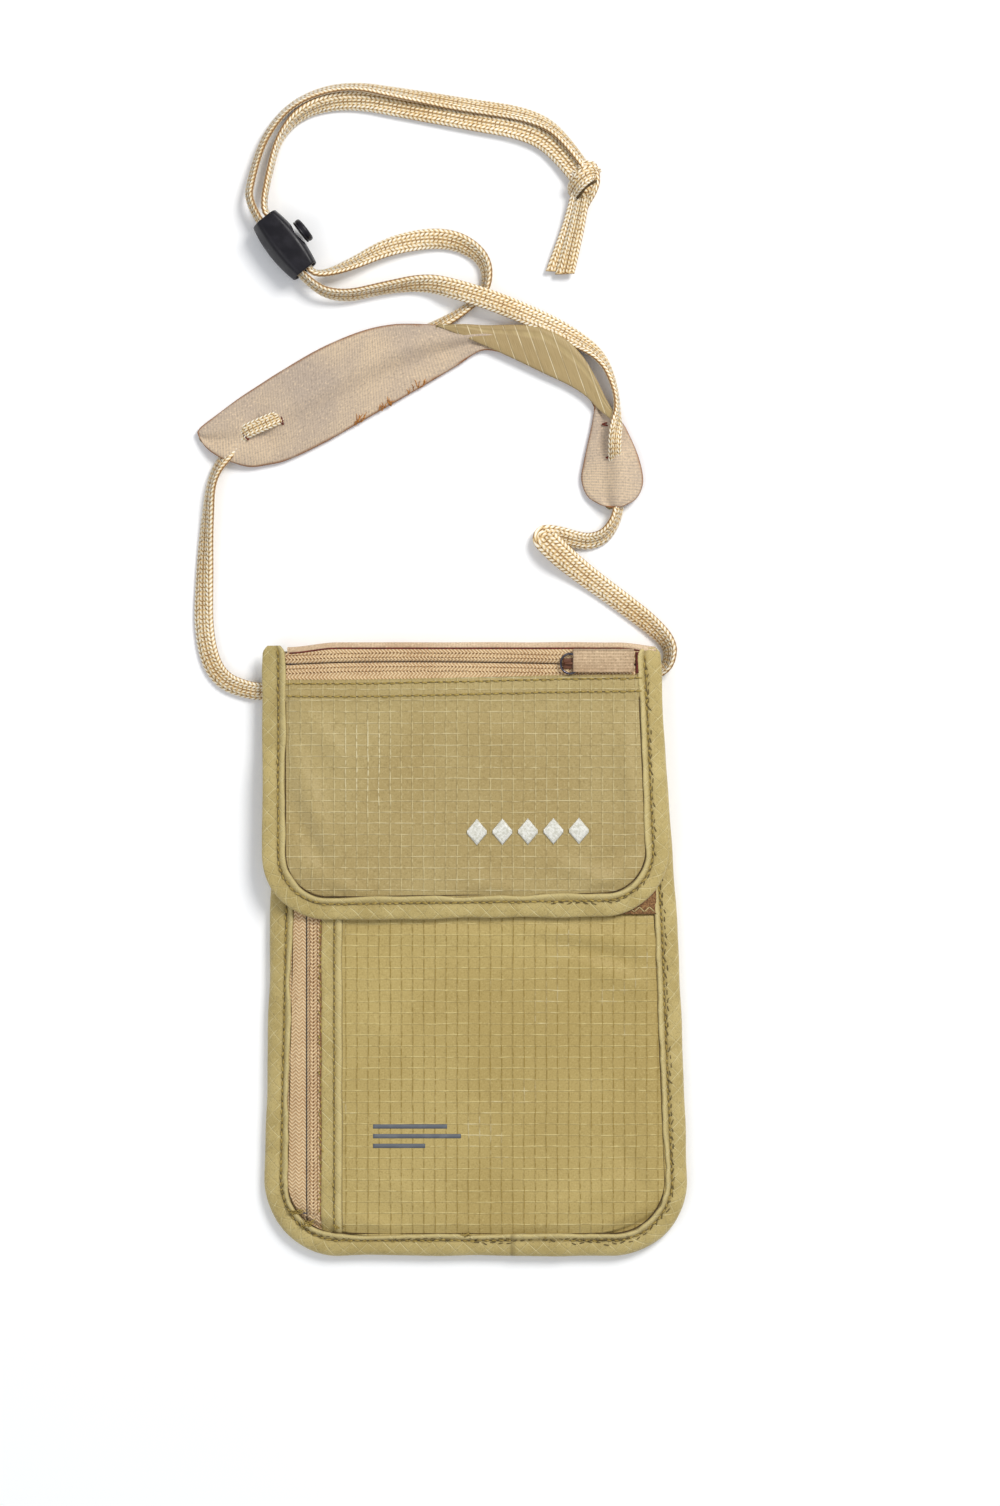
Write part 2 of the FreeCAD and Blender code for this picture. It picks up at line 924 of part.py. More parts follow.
# A leaf of two layers, flat at both ends and folded in half lengthwise in the middle.
PAD_OUTLINE = [
    (-89.0, 165.0),
    (-85.0, 169.3),
    (-75.4, 176.3),
    (-62.6, 184.6),
    (-49.8, 192.0),
    (-37.0, 197.4),
    (-27.4, 199.4),
    (-11.4, 199.0),
    (17.4, 198.7),
    (27.0, 194.2),
    (34.4, 190.1),
    (39.2, 180.5),
    (42.4, 175.0),
    (46.6, 169.0),
    (48.8, 165.1),
    (52.6, 155.8),
    (53.6, 148.5),
    (50.1, 143.0),
    (43.7, 141.1),
    (39.8, 142.1),
    (34.7, 145.9),
    (33.8, 150.1),
    (35.4, 159.7),
    (37.3, 169.3),
    (38.6, 175.4),
    (31.8, 180.2),
    (22.2, 185.0),
    (12.6, 189.8),
    (3.5, 192.6),
    (-11.4, 183.0),
    (-24.2, 175.7),
    (-37.0, 168.6),
    (-49.8, 161.0),
    (-59.4, 156.5),
    (-72.2, 153.9),
    (-81.4, 157.4),
]
PAD_FOLD = [
    (4.0, 198.0),
    (17.4, 197.7),
    (26.6, 193.2),
    (33.6, 189.1),
    (38.0, 180.3),
    (38.0, 177.0),
    (32.0, 181.2),
    (22.4, 186.0),
    (12.8, 190.8),
    (4.0, 193.4),
]
# The two pairs of slits that the cord runs through, as (x, y, direction of the cord).
PAD_SLITS = [
    ((-73.1, 163.8), 26.3),
    ((-62.6, 169.0), 26.3),
    ((44.4, 168.0), 90.0),
    ((44.4, 157.0), 90.0),
]


def prism(points, bottom, height):
    corners = [FreeCAD.Vector(x, y, bottom) for x, y in points]
    face = Part.Face(Part.makePolygon(corners + corners[:1]))
    return face.extrude(FreeCAD.Vector(0, 0, height))


pad_bottom = size("pad_bottom").value
pad_thickness = size("pad_thickness").value
ribbon_width = size("cord_width").value * 0.85
ribbon_thickness = size("cord_thickness").value

pad_shape = prism(PAD_OUTLINE, pad_bottom, pad_thickness)
fold_height = size("pad_fold_thickness").value
pad_shape = pad_shape.fuse(prism(PAD_FOLD, pad_bottom, fold_height))


def ribbon_box(x, y, turn, length, width, bottom, height):
    made = Part.makeBox(
        length, width, height, FreeCAD.Vector(-length / 2, -width / 2, 0)
    )
    place = FreeCAD.Placement(
        FreeCAD.Vector(x, y, bottom), FreeCAD.Rotation(FreeCAD.Vector(0, 0, 1), turn)
    )
    made.Placement = place
    return made


legs = []
for (x, y), turn in PAD_SLITS:
    leg_height = pad_thickness + ribbon_thickness
    legs.append(
        ribbon_box(x, y, turn, ribbon_thickness, ribbon_width, pad_bottom, leg_height)
    )
    pad_shape = pad_shape.cut(legs[-1])

pad = doc.addObject("Part::Feature", "pad_shape")
pad.Shape = pad_shape.removeSplitter()
keep(pad, "neck_pad")

for label, first, second in (("cord_bridge_left", 0, 1), ("cord_bridge_right", 3, 2)):
    (ax, ay), turn = PAD_SLITS[first]
    (bx, by), _ = PAD_SLITS[second]
    span = math.hypot(bx - ax, by - ay) + ribbon_thickness
    ribbon = ribbon_box(
        (ax + bx) / 2,
        (ay + by) / 2,
        turn,
        span,
        ribbon_width,
        pad_bottom + pad_thickness,
        ribbon_thickness,
    )
    bridge = doc.addObject("Part::Feature", f"{label}_shape")
    bridge.Shape = ribbon.fuse([legs[first], legs[second]]).removeSplitter()
    keep(bridge, label)

# ---------------------------------------------------------------- the cord lock

# The lock is drawn along its own X axis, with the button pushed in along its own +Y.
lock_place = FreeCAD.Placement(
    FreeCAD.Vector(size("lock_x").value, size("lock_y").value, IN_LOCK),
    FreeCAD.Rotation(FreeCAD.Vector(0, 0, 1), size("lock_turn").value),
)


def place_on_lock(thing):
    thing.Placement = lock_place
    bind(thing, "Placement.Base.x", size("lock_x"))
    bind(thing, "Placement.Base.y", size("lock_y"))
    return thing


barrel = doc.addObject("PartDesign::Body", "lock_barrel")
profile = barrel.newObject("Sketcher::SketchObject", "barrel_profile")
profile.AttachmentSupport = (origin_plane(barrel, "XY_Plane"), [""])
profile.MapMode = "FlatFace"
half = size("lock_length") * 0.5
end_radius = size("lock_end_radius")
lock_radius = size("lock_radius")
low = FreeCAD.Vector(-half.value, 0, 0)
low_end = FreeCAD.Vector(-half.value, end_radius.value, 0)
high_end = FreeCAD.Vector(half.value, end_radius.value, 0)
high = FreeCAD.Vector(half.value, 0, 0)
bulge = FreeCAD.Vector(0, lock_radius.value, 0)
profile.addGeometry(Part.LineSegment(low, low_end), False)
profile.addGeometry(Part.Arc(high_end, bulge, low_end), False)
profile.addGeometry(Part.LineSegment(high_end, high), False)
profile.addGeometry(Part.LineSegment(high, low), False)
profile.addConstraint(Sketcher.Constraint("Coincident", 0, 2, 1, 2))
profile.addConstraint(Sketcher.Constraint("Coincident", 1, 1, 2, 1))
profile.addConstraint(Sketcher.Constraint("Coincident", 2, 2, 3, 1))
profile.addConstraint(Sketcher.Constraint("Coincident", 3, 2, 0, 1))
profile.addConstraint(Sketcher.Constraint("PointOnObject", 2, 2, -1))
for kind, element, point, length in (
    ("DistanceX", 0, 1, -half),
    ("DistanceY", 0, 2, end_radius),
    ("DistanceX", 0, 2, -half),
    ("DistanceX", 2, 1, half),
    ("DistanceY", 2, 1, end_radius),
    ("DistanceX", 2, 2, half),
):
    held = profile.addConstraint(
        Sketcher.Constraint(kind, -1, 1, element, point, length.value)
    )
    profile.setExpression(f"Constraints[{held}]", length.text)
spin = barrel.newObject("PartDesign::Revolution", "barrel_spin")
spin.Profile = profile
spin.ReferenceAxis = (profile, ["H_Axis"])
spin.Angle = 360
doc.recompute()

window = box(
    "lock_window",
    -half - 1.0,
    size("lock_window_width") * -0.5,
    size("lock_window_height") * -0.5,
    size("lock_length") + 2.0,
    size("lock_window_width"),
    size("lock_window_height"),
)


def across(name, radius, start, length):
    """A cylinder along the lock's own Y, from start."""
    made = doc.addObject("Part::Cylinder", name)
    bind(made, "Radius", radius)
    bind(made, "Height", length)
    made.Placement.Rotation = FreeCAD.Rotation(FreeCAD.Vector(1, 0, 0), -90)
    bind(made, "Placement.Base.y", start)
    return made


bore_start = -lock_radius - 3.0
button_bore = across(
    "button_bore",
    size("button_radius") + size("button_clearance"),
    bore_start,
    size("button_bore_end") - bore_start,
)
hollows = fused("lock_hollows", [window, button_bore])
lock_body = cut("lock_cut", barrel, hollows)
keep(place_on_lock(lock_body), "cord_lock_body")

button_top = -lock_radius - size("button_proud")
plunger = across("plunger", size("button_radius"), button_top, size("prong_length"))
fork = box(
    "button_fork",
    -size("button_radius") - 1.0,
    button_top + size("button_cap"),
    size("lock_window_height") * -0.5,
    size("button_radius") * 2 + 2.0,
    size("prong_length"),
    size("lock_window_height"),
)
keep(place_on_lock(cut("button_cut", plunger, fork)), "cord_lock_button")

spring_start = size("button_bore_end") - size("spring_length")
spring_solid = across(
    "spring_solid", size("spring_outer"), spring_start, size("spring_length")
)
spring_hole = across(
    "spring_hole", size("spring_inner"), spring_start - 1.0, size("spring_length") + 2.0
)
keep(place_on_lock(cut("spring_cut", spring_solid, spring_hole)), "cord_lock_spring")

# ---------------------------------------------------------------- check and write

doc.recompute()
for thing in doc.Objects:
    if "Invalid" in thing.State or "Error" in thing.State:
        raise RuntimeError(f"{thing.Name} failed: {thing.State}")
os.makedirs("parts", exist_ok=True)
for part in PARTS:
    shape = part.Shape
    if shape.isNull() or not shape.isValid() or not shape.Solids:
        raise RuntimeError(f"{part.Label} has no valid solid")
    shape.exportStep(f"parts/{part.Label}.step")
    print(f"{part.Label}: {len(shape.Solids)} solid, {shape.Volume:.1f} mm3")
print(f"{len(PARTS)} parts")
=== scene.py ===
"""The visual model of the neck pouch wallet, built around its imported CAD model.

Lengths are in millimetres up to make(), which turns them into metres. Every mesh point
carries its place on the flat cloth, in millimetres, in the attribute "cloth", and the
materials draw their weaves on that.
"""

import math

import bpy
import numpy as np
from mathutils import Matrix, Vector


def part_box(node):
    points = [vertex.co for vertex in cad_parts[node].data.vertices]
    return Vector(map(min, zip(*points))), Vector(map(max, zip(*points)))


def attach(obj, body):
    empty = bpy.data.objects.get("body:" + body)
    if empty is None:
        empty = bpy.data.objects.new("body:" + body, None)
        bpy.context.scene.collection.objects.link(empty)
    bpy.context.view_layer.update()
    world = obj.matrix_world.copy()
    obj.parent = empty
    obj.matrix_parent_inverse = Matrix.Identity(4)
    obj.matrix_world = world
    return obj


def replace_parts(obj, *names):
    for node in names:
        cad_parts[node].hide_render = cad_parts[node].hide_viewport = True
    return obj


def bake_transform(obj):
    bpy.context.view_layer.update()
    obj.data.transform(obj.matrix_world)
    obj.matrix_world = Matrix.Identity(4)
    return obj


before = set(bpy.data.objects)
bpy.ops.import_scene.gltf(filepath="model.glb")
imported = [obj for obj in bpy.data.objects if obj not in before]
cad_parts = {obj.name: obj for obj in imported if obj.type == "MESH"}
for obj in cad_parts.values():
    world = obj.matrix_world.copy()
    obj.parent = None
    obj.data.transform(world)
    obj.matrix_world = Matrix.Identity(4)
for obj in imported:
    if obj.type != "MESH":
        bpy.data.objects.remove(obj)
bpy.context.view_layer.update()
scene = bpy.context.scene
MM = 0.001

# ---------------------------------------------------------------- camera

# It looks straight down at the table.
camera = bpy.data.objects.new("camera", bpy.data.cameras.new("camera"))
camera.data.lens = 100
camera.data.sensor_width = 36
camera.location = (0.00784, 0.06272, 1.339)
scene.collection.objects.link(camera)
scene.camera = camera
scene.view_settings.view_transform = "Standard"


# ---------------------------------------------------------------- shapes


def smooth(t):
    """0 to 1 with a soft start and end."""
    t = np.clip(t, 0, 1)
    return t * t * (3 - 2 * t)


def unit(v):
    return v / np.maximum(np.linalg.norm(v, axis=-1, keepdims=True), 1e-9)


def ripple(x, y, size, seed):
    """Irregular soft waves in every direction, about -1 to 1."""
    picks = np.random.default_rng(seed)
    total = 0.0
    for _ in range(7):
        angle, phase = picks.uniform(0, 2 * math.pi, 2)
        k = 2 * math.pi / (size * picks.uniform(0.7, 1.6))
        total = total + np.sin((x * math.cos(angle) + y * math.sin(angle)) * k + phase)
    return total / 3.5


def xyz(x, y, z):
    """Points from their three coordinates."""
    return np.stack(np.broadcast_arrays(x, y, z), axis=-1)


def run_along(line):
    """The distance along a line up to each of its points."""
    return np.concatenate([[0], np.cumsum(np.linalg.norm(np.diff(line, axis=0), axis=1))])


def to_segment(x, y, x0, y0, x1, y1):
    """Each point's place along a segment, 0 to 1, and its distance from it."""
    dx, dy = x1 - x0, y1 - y0
    t = np.clip(((x - x0) * dx + (y - y0) * dy) / (dx * dx + dy * dy), 0, 1)
    return t, np.hypot(x - x0 - t * dx, y - y0 - t * dy)


def creases(x, y, folds):
    """Height of soft folds, each (x0, y0, x1, y1, half width, height)."""
    total = np.zeros(np.shape(x))
    for *ends, half, height in folds:
        t, away = to_segment(x, y, *ends)
        shape = 0.25 + 0.75 * np.sin(math.pi * t)
        total = total + height * np.exp(-((away / half) ** 2)) * shape
    return total


def make(name, points, faces, material, body=None, slot=None, cloth=None, more=None):
    """A mesh piece from points in millimetres, which rides on a body."""
    points = np.asarray(points, float).reshape(-1, 3)
    mesh = bpy.data.meshes.new(name)
    mesh.from_pydata((points * MM).tolist(), [], [list(map(int, f)) for f in faces])
    mesh.polygons.foreach_set("use_smooth", [True] * len(mesh.polygons))
    where = points if cloth is None else np.asarray(cloth, float).reshape(-1, 3)
    kept = mesh.attributes.new("cloth", "FLOAT_VECTOR", "POINT")
    kept.data.foreach_set("vector", where.astype(np.float32).ravel())
    for label, values in (more or {}).items():
        kept = mesh.attributes.new(label, "FLOAT", "POINT")
        kept.data.foreach_set("value", np.asarray(values, np.float32).ravel())
    piece = bpy.data.objects.new(name, mesh)
    scene.collection.objects.link(piece)
    for one in material if isinstance(material, (list, tuple)) else [material]:
        mesh.materials.append(one)
    mesh.validate()
    if body:
        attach(piece, body)
    return piece


def grid_faces(rows, columns, around=False, along=False):
    """Quads over a grid; around joins each row's ends, along joins last row to first."""
    faces = []
    for i in range(rows if along else rows - 1):
        this, following = i * columns, (i + 1) % rows * columns
        for j in range(columns if around else columns - 1):
            m = (j + 1) % columns
            faces.append((this + j, this + m, following + m, following + j))
    return faces


def loft(rings):
    """Points and faces of a closed tube through rings of points."""
    rings = np.asarray(rings, float)
    rows, columns = rings.shape[:2]
    faces = grid_faces(rows, columns, around=True)
    faces.append(tuple(range(columns))[::-1])
    faces.append(tuple(range((rows - 1) * columns, rows * columns)))
    return rings.reshape(-1, 3), faces


def grid_normal(grid):
    return unit(np.cross(np.gradient(grid, axis=1), np.gradient(grid, axis=0)))


def closed_sheet(top, low, flip=False, rim=(0, 2, 3, 1)):
    """Points and faces of a closed sheet between two grids of points.

    rim is the order of each edge face's corners: two on top, and the two under them.
    """
    rows, columns = top.shape[:2]
    count = rows * columns
    upper = grid_faces(rows, columns)
    if flip:
        upper = [f[::-1] for f in upper]
    lower = [tuple(count + i for i in f[::-1]) for f in upper]
    edge = [*range(columns), *range(2 * columns - 1, count, columns)]
    edge += [*range(count - 2, count - columns - 1, -1)]
    edge += [*range(count - 2 * columns, 0, -columns)]
    sides = []
    for a, b in zip(edge, edge[1:] + edge[:1]):
        corners = (a, b, count + a, count + b)
        sides.append(tuple(corners[i] for i in rim))
    return np.concatenate([top.reshape(-1, 3), low.reshape(-1, 3)]), upper + lower + sides


def layer(top, thick):
    """Points and faces of a thin closed sheet whose upper face is a grid of points."""
    top = np.asarray(top, float)
    normal = grid_normal(top)
    normal *= np.sign(normal[..., 2:].mean() or 1)
    low = top - normal * thick
    if np.cross(top[0, -1] - top[0, 0], top[-1, 0] - top[0, 0])[2] < 0:
        return closed_sheet(top, low, True, (1, 3, 2, 0))
    return closed_sheet(top, low)


def join(parts):
    """Several (points, faces) as one."""
    points, faces, start = [], [], 0
    for some, theirs in parts:
        points.append(np.asarray(some, float).reshape(-1, 3))
        faces += [tuple(start + i for i in f) for f in theirs]
        start += len(points[-1])
    return np.concatenate(points), faces


def frames(line):
    """Tangent, side and up along a line; side stays level, also where it turns over."""
    tangent = unit(np.gradient(line, axis=0))
    side = [np.cross(tangent[0], [0, 0, 1.0])]
    for t in tangent[1:]:
        level = np.cross(t, [0, 0, 1.0])
        steep = np.linalg.norm(level) <= 0.1
        side.append(side[-1] if steep else level * np.sign(level @ side[-1]))
    side = unit(np.array(side))
    for _ in range(3):
        side[1:-1] = unit(side[:-2] + 2 * side[1:-1] + side[2:])
    side = unit(side - tangent * (side * tangent).sum(axis=1)[:, None])
    return tangent, side, np.cross(side, tangent)


def tube(line, radius, sides=8, closed=False, squash=1.0):
    """A round tube along a line; radius may change along it."""
    line = np.asarray(line, float)
    if closed:
        tangent = unit(np.roll(line, -1, axis=0) - np.roll(line, 1, axis=0))
    else:
        tangent = unit(np.gradient(line, axis=0))
    first = np.cross(tangent[0], [0, 0, 1.0])
    if np.linalg.norm(first) < 0.1:
        first = np.cross(tangent[0], [0, 1.0, 0])
    side = [unit(first)]
    for t in tangent[1:]:
        side.append(unit(side[-1] - t * (side[-1] @ t)))
    side = np.array(side)
    up = np.cross(side, tangent)
    turn = np.linspace(0, 2 * math.pi, sides, endpoint=False)
    radius = np.broadcast_to(np.asarray(radius, float), len(line))[:, None, None]
    rings = line[:, None] + radius * (
        np.cos(turn)[None, :, None] * side[:, None]
        + squash * np.sin(turn)[None, :, None] * up[:, None]
    )
    if closed:
        return rings.reshape(-1, 3), grid_faces(len(line), sides, around=True, along=True)
    return loft(rings)


def resample(line, step):
    """The same line with points about a step apart."""
    line = np.asarray(line, float)
    run = run_along(line)
    at = np.linspace(0, run[-1], max(2, round(run[-1] / step) + 1))
    return np.stack([np.interp(at, run, line[:, k]) for k in range(line.shape[1])], 1)


def rounded(corners, radius):
    """An open outline with its sharp corners rounded, as evenly spaced points."""
    corners = [np.array(c, float) for c in corners]
    made = [corners[0]]
    for before, corner, after in zip(corners, corners[1:], corners[2:]):
        come, go = unit(before - corner), unit(after - corner)
        turn = math.pi - math.acos(np.clip(come @ go, -1, 1))
        if turn < 0.5:
            made.append(corner)
            continue
        centre = corner + unit(come + go) * radius / math.cos(turn / 2)
        trim = radius * math.tan(turn / 2)
        first, last = corner + come * trim, corner + go * trim
        for t in np.linspace(0, 1, 24):
            chord = first * (1 - t) + last * t - centre
            made.append(centre + unit(chord) * radius)
    made.append(corners[-1])
    return resample(made, 0.8)


def inward(path):
    """The direction into the shape, for a path down its left, along and up its right."""
    tangent = unit(np.gradient(path, axis=0))
    for _ in range(4):
        tangent[1:-1] = (tangent[:-2] + tangent[1:-1] * 2 + tangent[2:]) / 4
    tangent = unit(tangent)
    return np.stack([-tangent[:, 1], tangent[:, 0]], 1)


def sides_at(path, y):
    """The path's left and right X at each height."""
    low = int(np.argmin(path[:, 1]))
    left = np.interp(y, path[: low + 1][::-1, 1], path[: low + 1][::-1, 0])
    right = np.interp(y, path[low:, 1], path[low:, 0])
    return left, right


def spread(first, last, step, ease=False):
    """Evenly spaced numbers; ease draws them together towards the last."""
    t = np.linspace(0, 1, max(2, round(abs(last - first) / step) + 1))
    return first + (last - first) * (np.sin(t * math.pi / 2) if ease else t)


def field(path, top, bottom, height, step=1.6, left=None, right=None):
    """A grid of points over a panel between the path's two sides."""
    y = spread(top, bottom, step * 0.75, ease=True)
    x0, x1 = sides_at(path, y)
    if left is not None:
        x0 = np.maximum(x0, left)
    if right is not None:
        x1 = np.minimum(x1, right)
    t = np.linspace(0, 1, max(3, round((x1.max() - x0.min()) / step) + 1))
    x = x0[:, None] + (x1 - x0)[:, None] * t[None]
    y = np.repeat(y[:, None], len(t), axis=1)
    return xyz(x, y, height(x, y))


def patch(x0, x1, y0, y1, height, step=1.2):
    """A grid of points over a rectangle."""
    x, y = np.meshgrid(spread(x0, x1, step), spread(y1, y0, step))
    return xyz(x, y, height(x, y))


# ---------------------------------------------------------------- materials


def srgb(red, green, blue):
    """A screen colour, 0 to 255, as a linear one."""
    out = []
    for c in (red, green, blue):
        c /= 255
        out.append(c / 12.92 if c <= 0.04045 else ((c + 0.055) / 1.055) ** 2.4)
    return (*out, 1.0)


class Shader:
    """A material, its colour so far, and short calls that add nodes to it."""

    def __init__(self, name):
        self.colour = None
        self.material = bpy.data.materials.new(name)
        self.material.use_nodes = True
        self.tree = self.material.node_tree
        self.tree.nodes.clear()
        output = self.node("ShaderNodeOutputMaterial")
        self.bsdf = self.node("ShaderNodeBsdfPrincipled")
        self.tree.links.new(self.bsdf.outputs[0], output.inputs[0])

    def node(self, kind, **settings):
        made = self.tree.nodes.new(kind)
        for key, value in settings.items():
            setattr(made, key, value)
        return made

    def put(self, socket, value):
        """Links or sets an input; three whole numbers are a screen colour."""
        if isinstance(value, bpy.types.NodeSocket):
            self.tree.links.new(value, socket)
        elif isinstance(value, tuple) and len(value) == 3:
            socket.default_value = srgb(*value)
        else:
            socket.default_value = value

    def set(self, **values):
        for key, value in values.items():
            self.put(self.bsdf.inputs[key.replace("_", " ")], value)

    def math(self, operation, *values):
        made = self.node("ShaderNodeMath", operation=operation)
        for socket, value in zip(made.inputs, values):
            self.put(socket, value)
        return made.outputs[0]

    def times(self, a, b):
        return self.math("MULTIPLY", a, b)

    def value(self, name):
        return self.node("ShaderNodeAttribute", attribute_name=name).outputs["Fac"]

    def cloth(self, wobble=0.0, size=9.0):
        """The place on the flat cloth in millimetres, as a vector and its X and Y."""
        where = self.node("ShaderNodeAttribute", attribute_name="cloth").outputs["Vector"]
        if wobble:
            cloud = self.node("ShaderNodeTexNoise")
            self.put(cloud.inputs["Vector"], where)
            cloud.inputs["Scale"].default_value = 1 / size
            shift = self.node("ShaderNodeVectorMath", operation="MULTIPLY_ADD")
            self.put(shift.inputs[0], cloud.outputs["Color"])
            shift.inputs[1].default_value = (2 * wobble,) * 3
            self.put(shift.inputs[2], where)
            where = shift.outputs[0]
        parts = self.node("ShaderNodeSeparateXYZ")
        self.put(parts.inputs[0], where)
        return where, parts.outputs[0], parts.outputs[1]

    def noise(self, where, size, detail):
        made = self.node("ShaderNodeTexNoise")
        self.put(made.inputs["Vector"], where)
        made.inputs["Scale"].default_value = 1 / size
        made.inputs["Detail"].default_value = detail
        return made.outputs["Fac"]

    def span(self, value, low, high, to_low=0.0, to_high=1.0):
        made = self.node("ShaderNodeMapRange", interpolation_type="SMOOTHSTEP")
        for socket, one in zip(made.inputs, (value, low, high, to_low, to_high)):
            self.put(socket, one)
        return made.outputs[0]

    def lines(self, value, pitch, half, soft):
        """1 on lines a pitch apart and 0 between them."""
        step = self.math("FRACT", self.math("DIVIDE", value, pitch))
        away = self.times(self.math("ABSOLUTE", self.math("SUBTRACT", step, 0.5)), pitch)
        return self.span(away, half, half + soft, 1.0, 0.0)

    def wave(self, value, pitch):
        """0 to 1 to 0 over each pitch."""
        angle = self.times(value, 2 * math.pi / pitch)
        return self.math("MULTIPLY_ADD", self.math("SINE", angle), 0.5, 0.5)

    def mix(self, factor, a, b):
        made = self.node("ShaderNodeMix", data_type="RGBA")
        self.put(made.inputs["Factor"], factor)
        self.put(made.inputs[6], a)
        self.put(made.inputs[7], b)
        return made.outputs[2]

    def bump(self, height, distance, strength):
        made = self.node("ShaderNodeBump")
        made.inputs["Strength"].default_value = strength
        made.inputs["Distance"].default_value = distance * MM
        self.put(made.inputs["Height"], height)
        return made.outputs[0]

    def tint(self, colour, factor):
        """Mixes a colour into the surface's."""
        self.colour = self.mix(factor, self.colour, colour)

    def done(self, rough, height, distance, strength, sheen=0.0, soft=0.5, **more):
        """Sets the surface's inputs and returns the material."""
        self.set(
            Base_Color=self.colour,
            Roughness=rough,
            Normal=self.bump(height, distance, strength),
            Sheen_Weight=sheen,
            Sheen_Roughness=soft,
            **more,
        )
        return self.material


GRID = 3.55  # millimetres between the ripstop's thicker threads


def ripstop_material(name, base, dark, run, rise, deep, glint, where_bright=None):
    """Ripstop: a fine plain weave with a square grid of thicker, broken threads.

    run and rise are the colours of the threads along X and along Y. glint is the strength
    of a painted highlight on the grid threads, strongest round where_bright.
    """
    s = Shader(name)
    where, x, y = s.cloth(wobble=0.4, size=11)
    across = s.lines(x, GRID, 0.05, 0.2)
    along = s.lines(y, GRID, 0.05, 0.21)
    beside = s.lines(s.math("ADD", x, 0.36), GRID, 0.02, 0.3)
    cloud = s.noise(where, 45, 3)
    broken = s.noise(where, 1.5, 2)
    other = s.noise(where, 2.6, 2)
    patchy = s.noise(where, 17, 3)
    grain = s.noise(where, 0.55, 2)
    weave = s.times(s.wave(x, 0.62), s.wave(y, 0.62))
    s.colour = s.mix(s.span(cloud, 0.35, 0.65), base, dark)
    s.tint(deep, s.span(grain, 0.5, 0.8, 0.0, 0.5))
    s.tint(run, s.span(grain, 0.45, 0.2, 0.0, 0.35))
    # Painted shade in a thin line beside each thicker thread that runs along Y.
    s.tint(deep, s.times(beside, s.span(other, 0.3, 0.65, 0.3, 0.05)))
    seen = s.times(along, s.span(other, 0.35, 0.65, 0.1, 0.8))
    s.tint(run, seen)
    seen = s.times(across, s.span(broken, 0.38, 0.6, 0.05, 0.85))
    s.tint(rise, seen)
    grid = s.math("MAXIMUM", across, along)
    # bright is a painted highlight on the grid threads, strongest round where_bright.
    bright = s.times(grid, s.span(patchy, 0.6, 0.72))
    bright = s.times(bright, s.span(other, 0.4, 0.6, 0.2, 1.0))
    if where_bright:
        near_x = s.span(s.math("ABSOLUTE", s.math("ADD", x, -where_bright[0])), 12, 3)
        near_y = s.span(s.math("ABSOLUTE", s.math("ADD", y, -where_bright[1])), 22, 6)
        near = s.times(near_x, near_y)
        bright = s.math("MAXIMUM", s.times(bright, 0.3), s.times(seen, near))
    s.tint((226, 214, 172), s.times(bright, glint))
    height = s.math("MULTIPLY_ADD", weave, 0.25, s.math("MULTIPLY_ADD", grain, 0.6, grid))
    return s.done(s.span(cloud, 0.3, 0.7, 0.46, 0.58), height, 0.14, 0.9, 0.2)


def binding_material(name, base, dark, line, deep):
    """Ripstop tape cut on the bias, so its grid runs at 45 degrees to the edge."""
    s = Shader(name)
    where, run, across = s.cloth(wobble=0.5, size=8)
    slant = 3.6 * math.sqrt(2)
    one = s.lines(s.math("ADD", run, across), slant, 0.08, 0.26)
    two = s.lines(s.math("SUBTRACT", run, across), slant, 0.05, 0.26)
    fine = s.wave(s.math("ADD", run, across), 0.8)
    cloud = s.noise(where, 9, 3)
    broken = s.noise(where, 3.0, 2)
    grain = s.noise(where, 0.55, 2)
    s.colour = s.mix(s.span(cloud, 0.3, 0.7), base, dark)
    s.tint(deep, s.span(grain, 0.5, 0.8, 0.0, 0.55))
    s.tint(line, s.span(grain, 0.45, 0.2, 0.0, 0.4))
    seen = s.span(broken, 0.35, 0.62, 0.15, 0.85)
    s.tint(line, s.times(one, seen))
    s.tint(line, s.times(two, s.times(seen, 0.75)))
    s.tint(line, s.times(fine, 0.12))
    # Painted highlight along the raised lip, and painted shade in the grooves and across the
    # joint.
    s.tint(line, s.times(s.value("lip"), 0.4))
    s.tint(deep, s.value("groove"))
    both = s.math("MAXIMUM", one, two)
    return s.done(0.62, s.math("MULTIPLY_ADD", grain, 0.6, both), 0.14, 0.8, 0.2)


def ribbed_material(name, base, dark, pitch, depth, edge=None, turn=False):
    """Knit or ribbed cloth: fine ribs with a broken grain."""
    s = Shader(name)
    where, x, y = s.cloth(wobble=0.12, size=4)
    ribs = s.wave(y if turn else x, pitch)
    loops = s.wave(x if turn else y, pitch * 0.8)
    cells = s.times(ribs, s.math("MULTIPLY_ADD", loops, 0.45, 0.55))
    cloud = s.noise(where, 26, 3)
    grain = s.noise(where, 0.7, 2)
    pale = (*(min(1.0, c * 1.22) for c in srgb(*base)[:3]), 1.0)
    deep = (*(c * 0.6 for c in srgb(*dark)[:3]), 1.0)
    s.colour = s.mix(s.span(cloud, 0.3, 0.7), base, dark)
    s.tint(dark, s.times(cells, depth))
    s.tint(deep, s.span(grain, 0.5, 0.78, 0.0, 0.6))
    s.tint(pale, s.span(grain, 0.45, 0.25, 0.0, 0.6))
    if edge:
        s.tint(edge, s.value("burn"))
    return s.done(0.85, s.math("ADD", cells, grain), 0.14, 0.6, 0.35, 0.4)


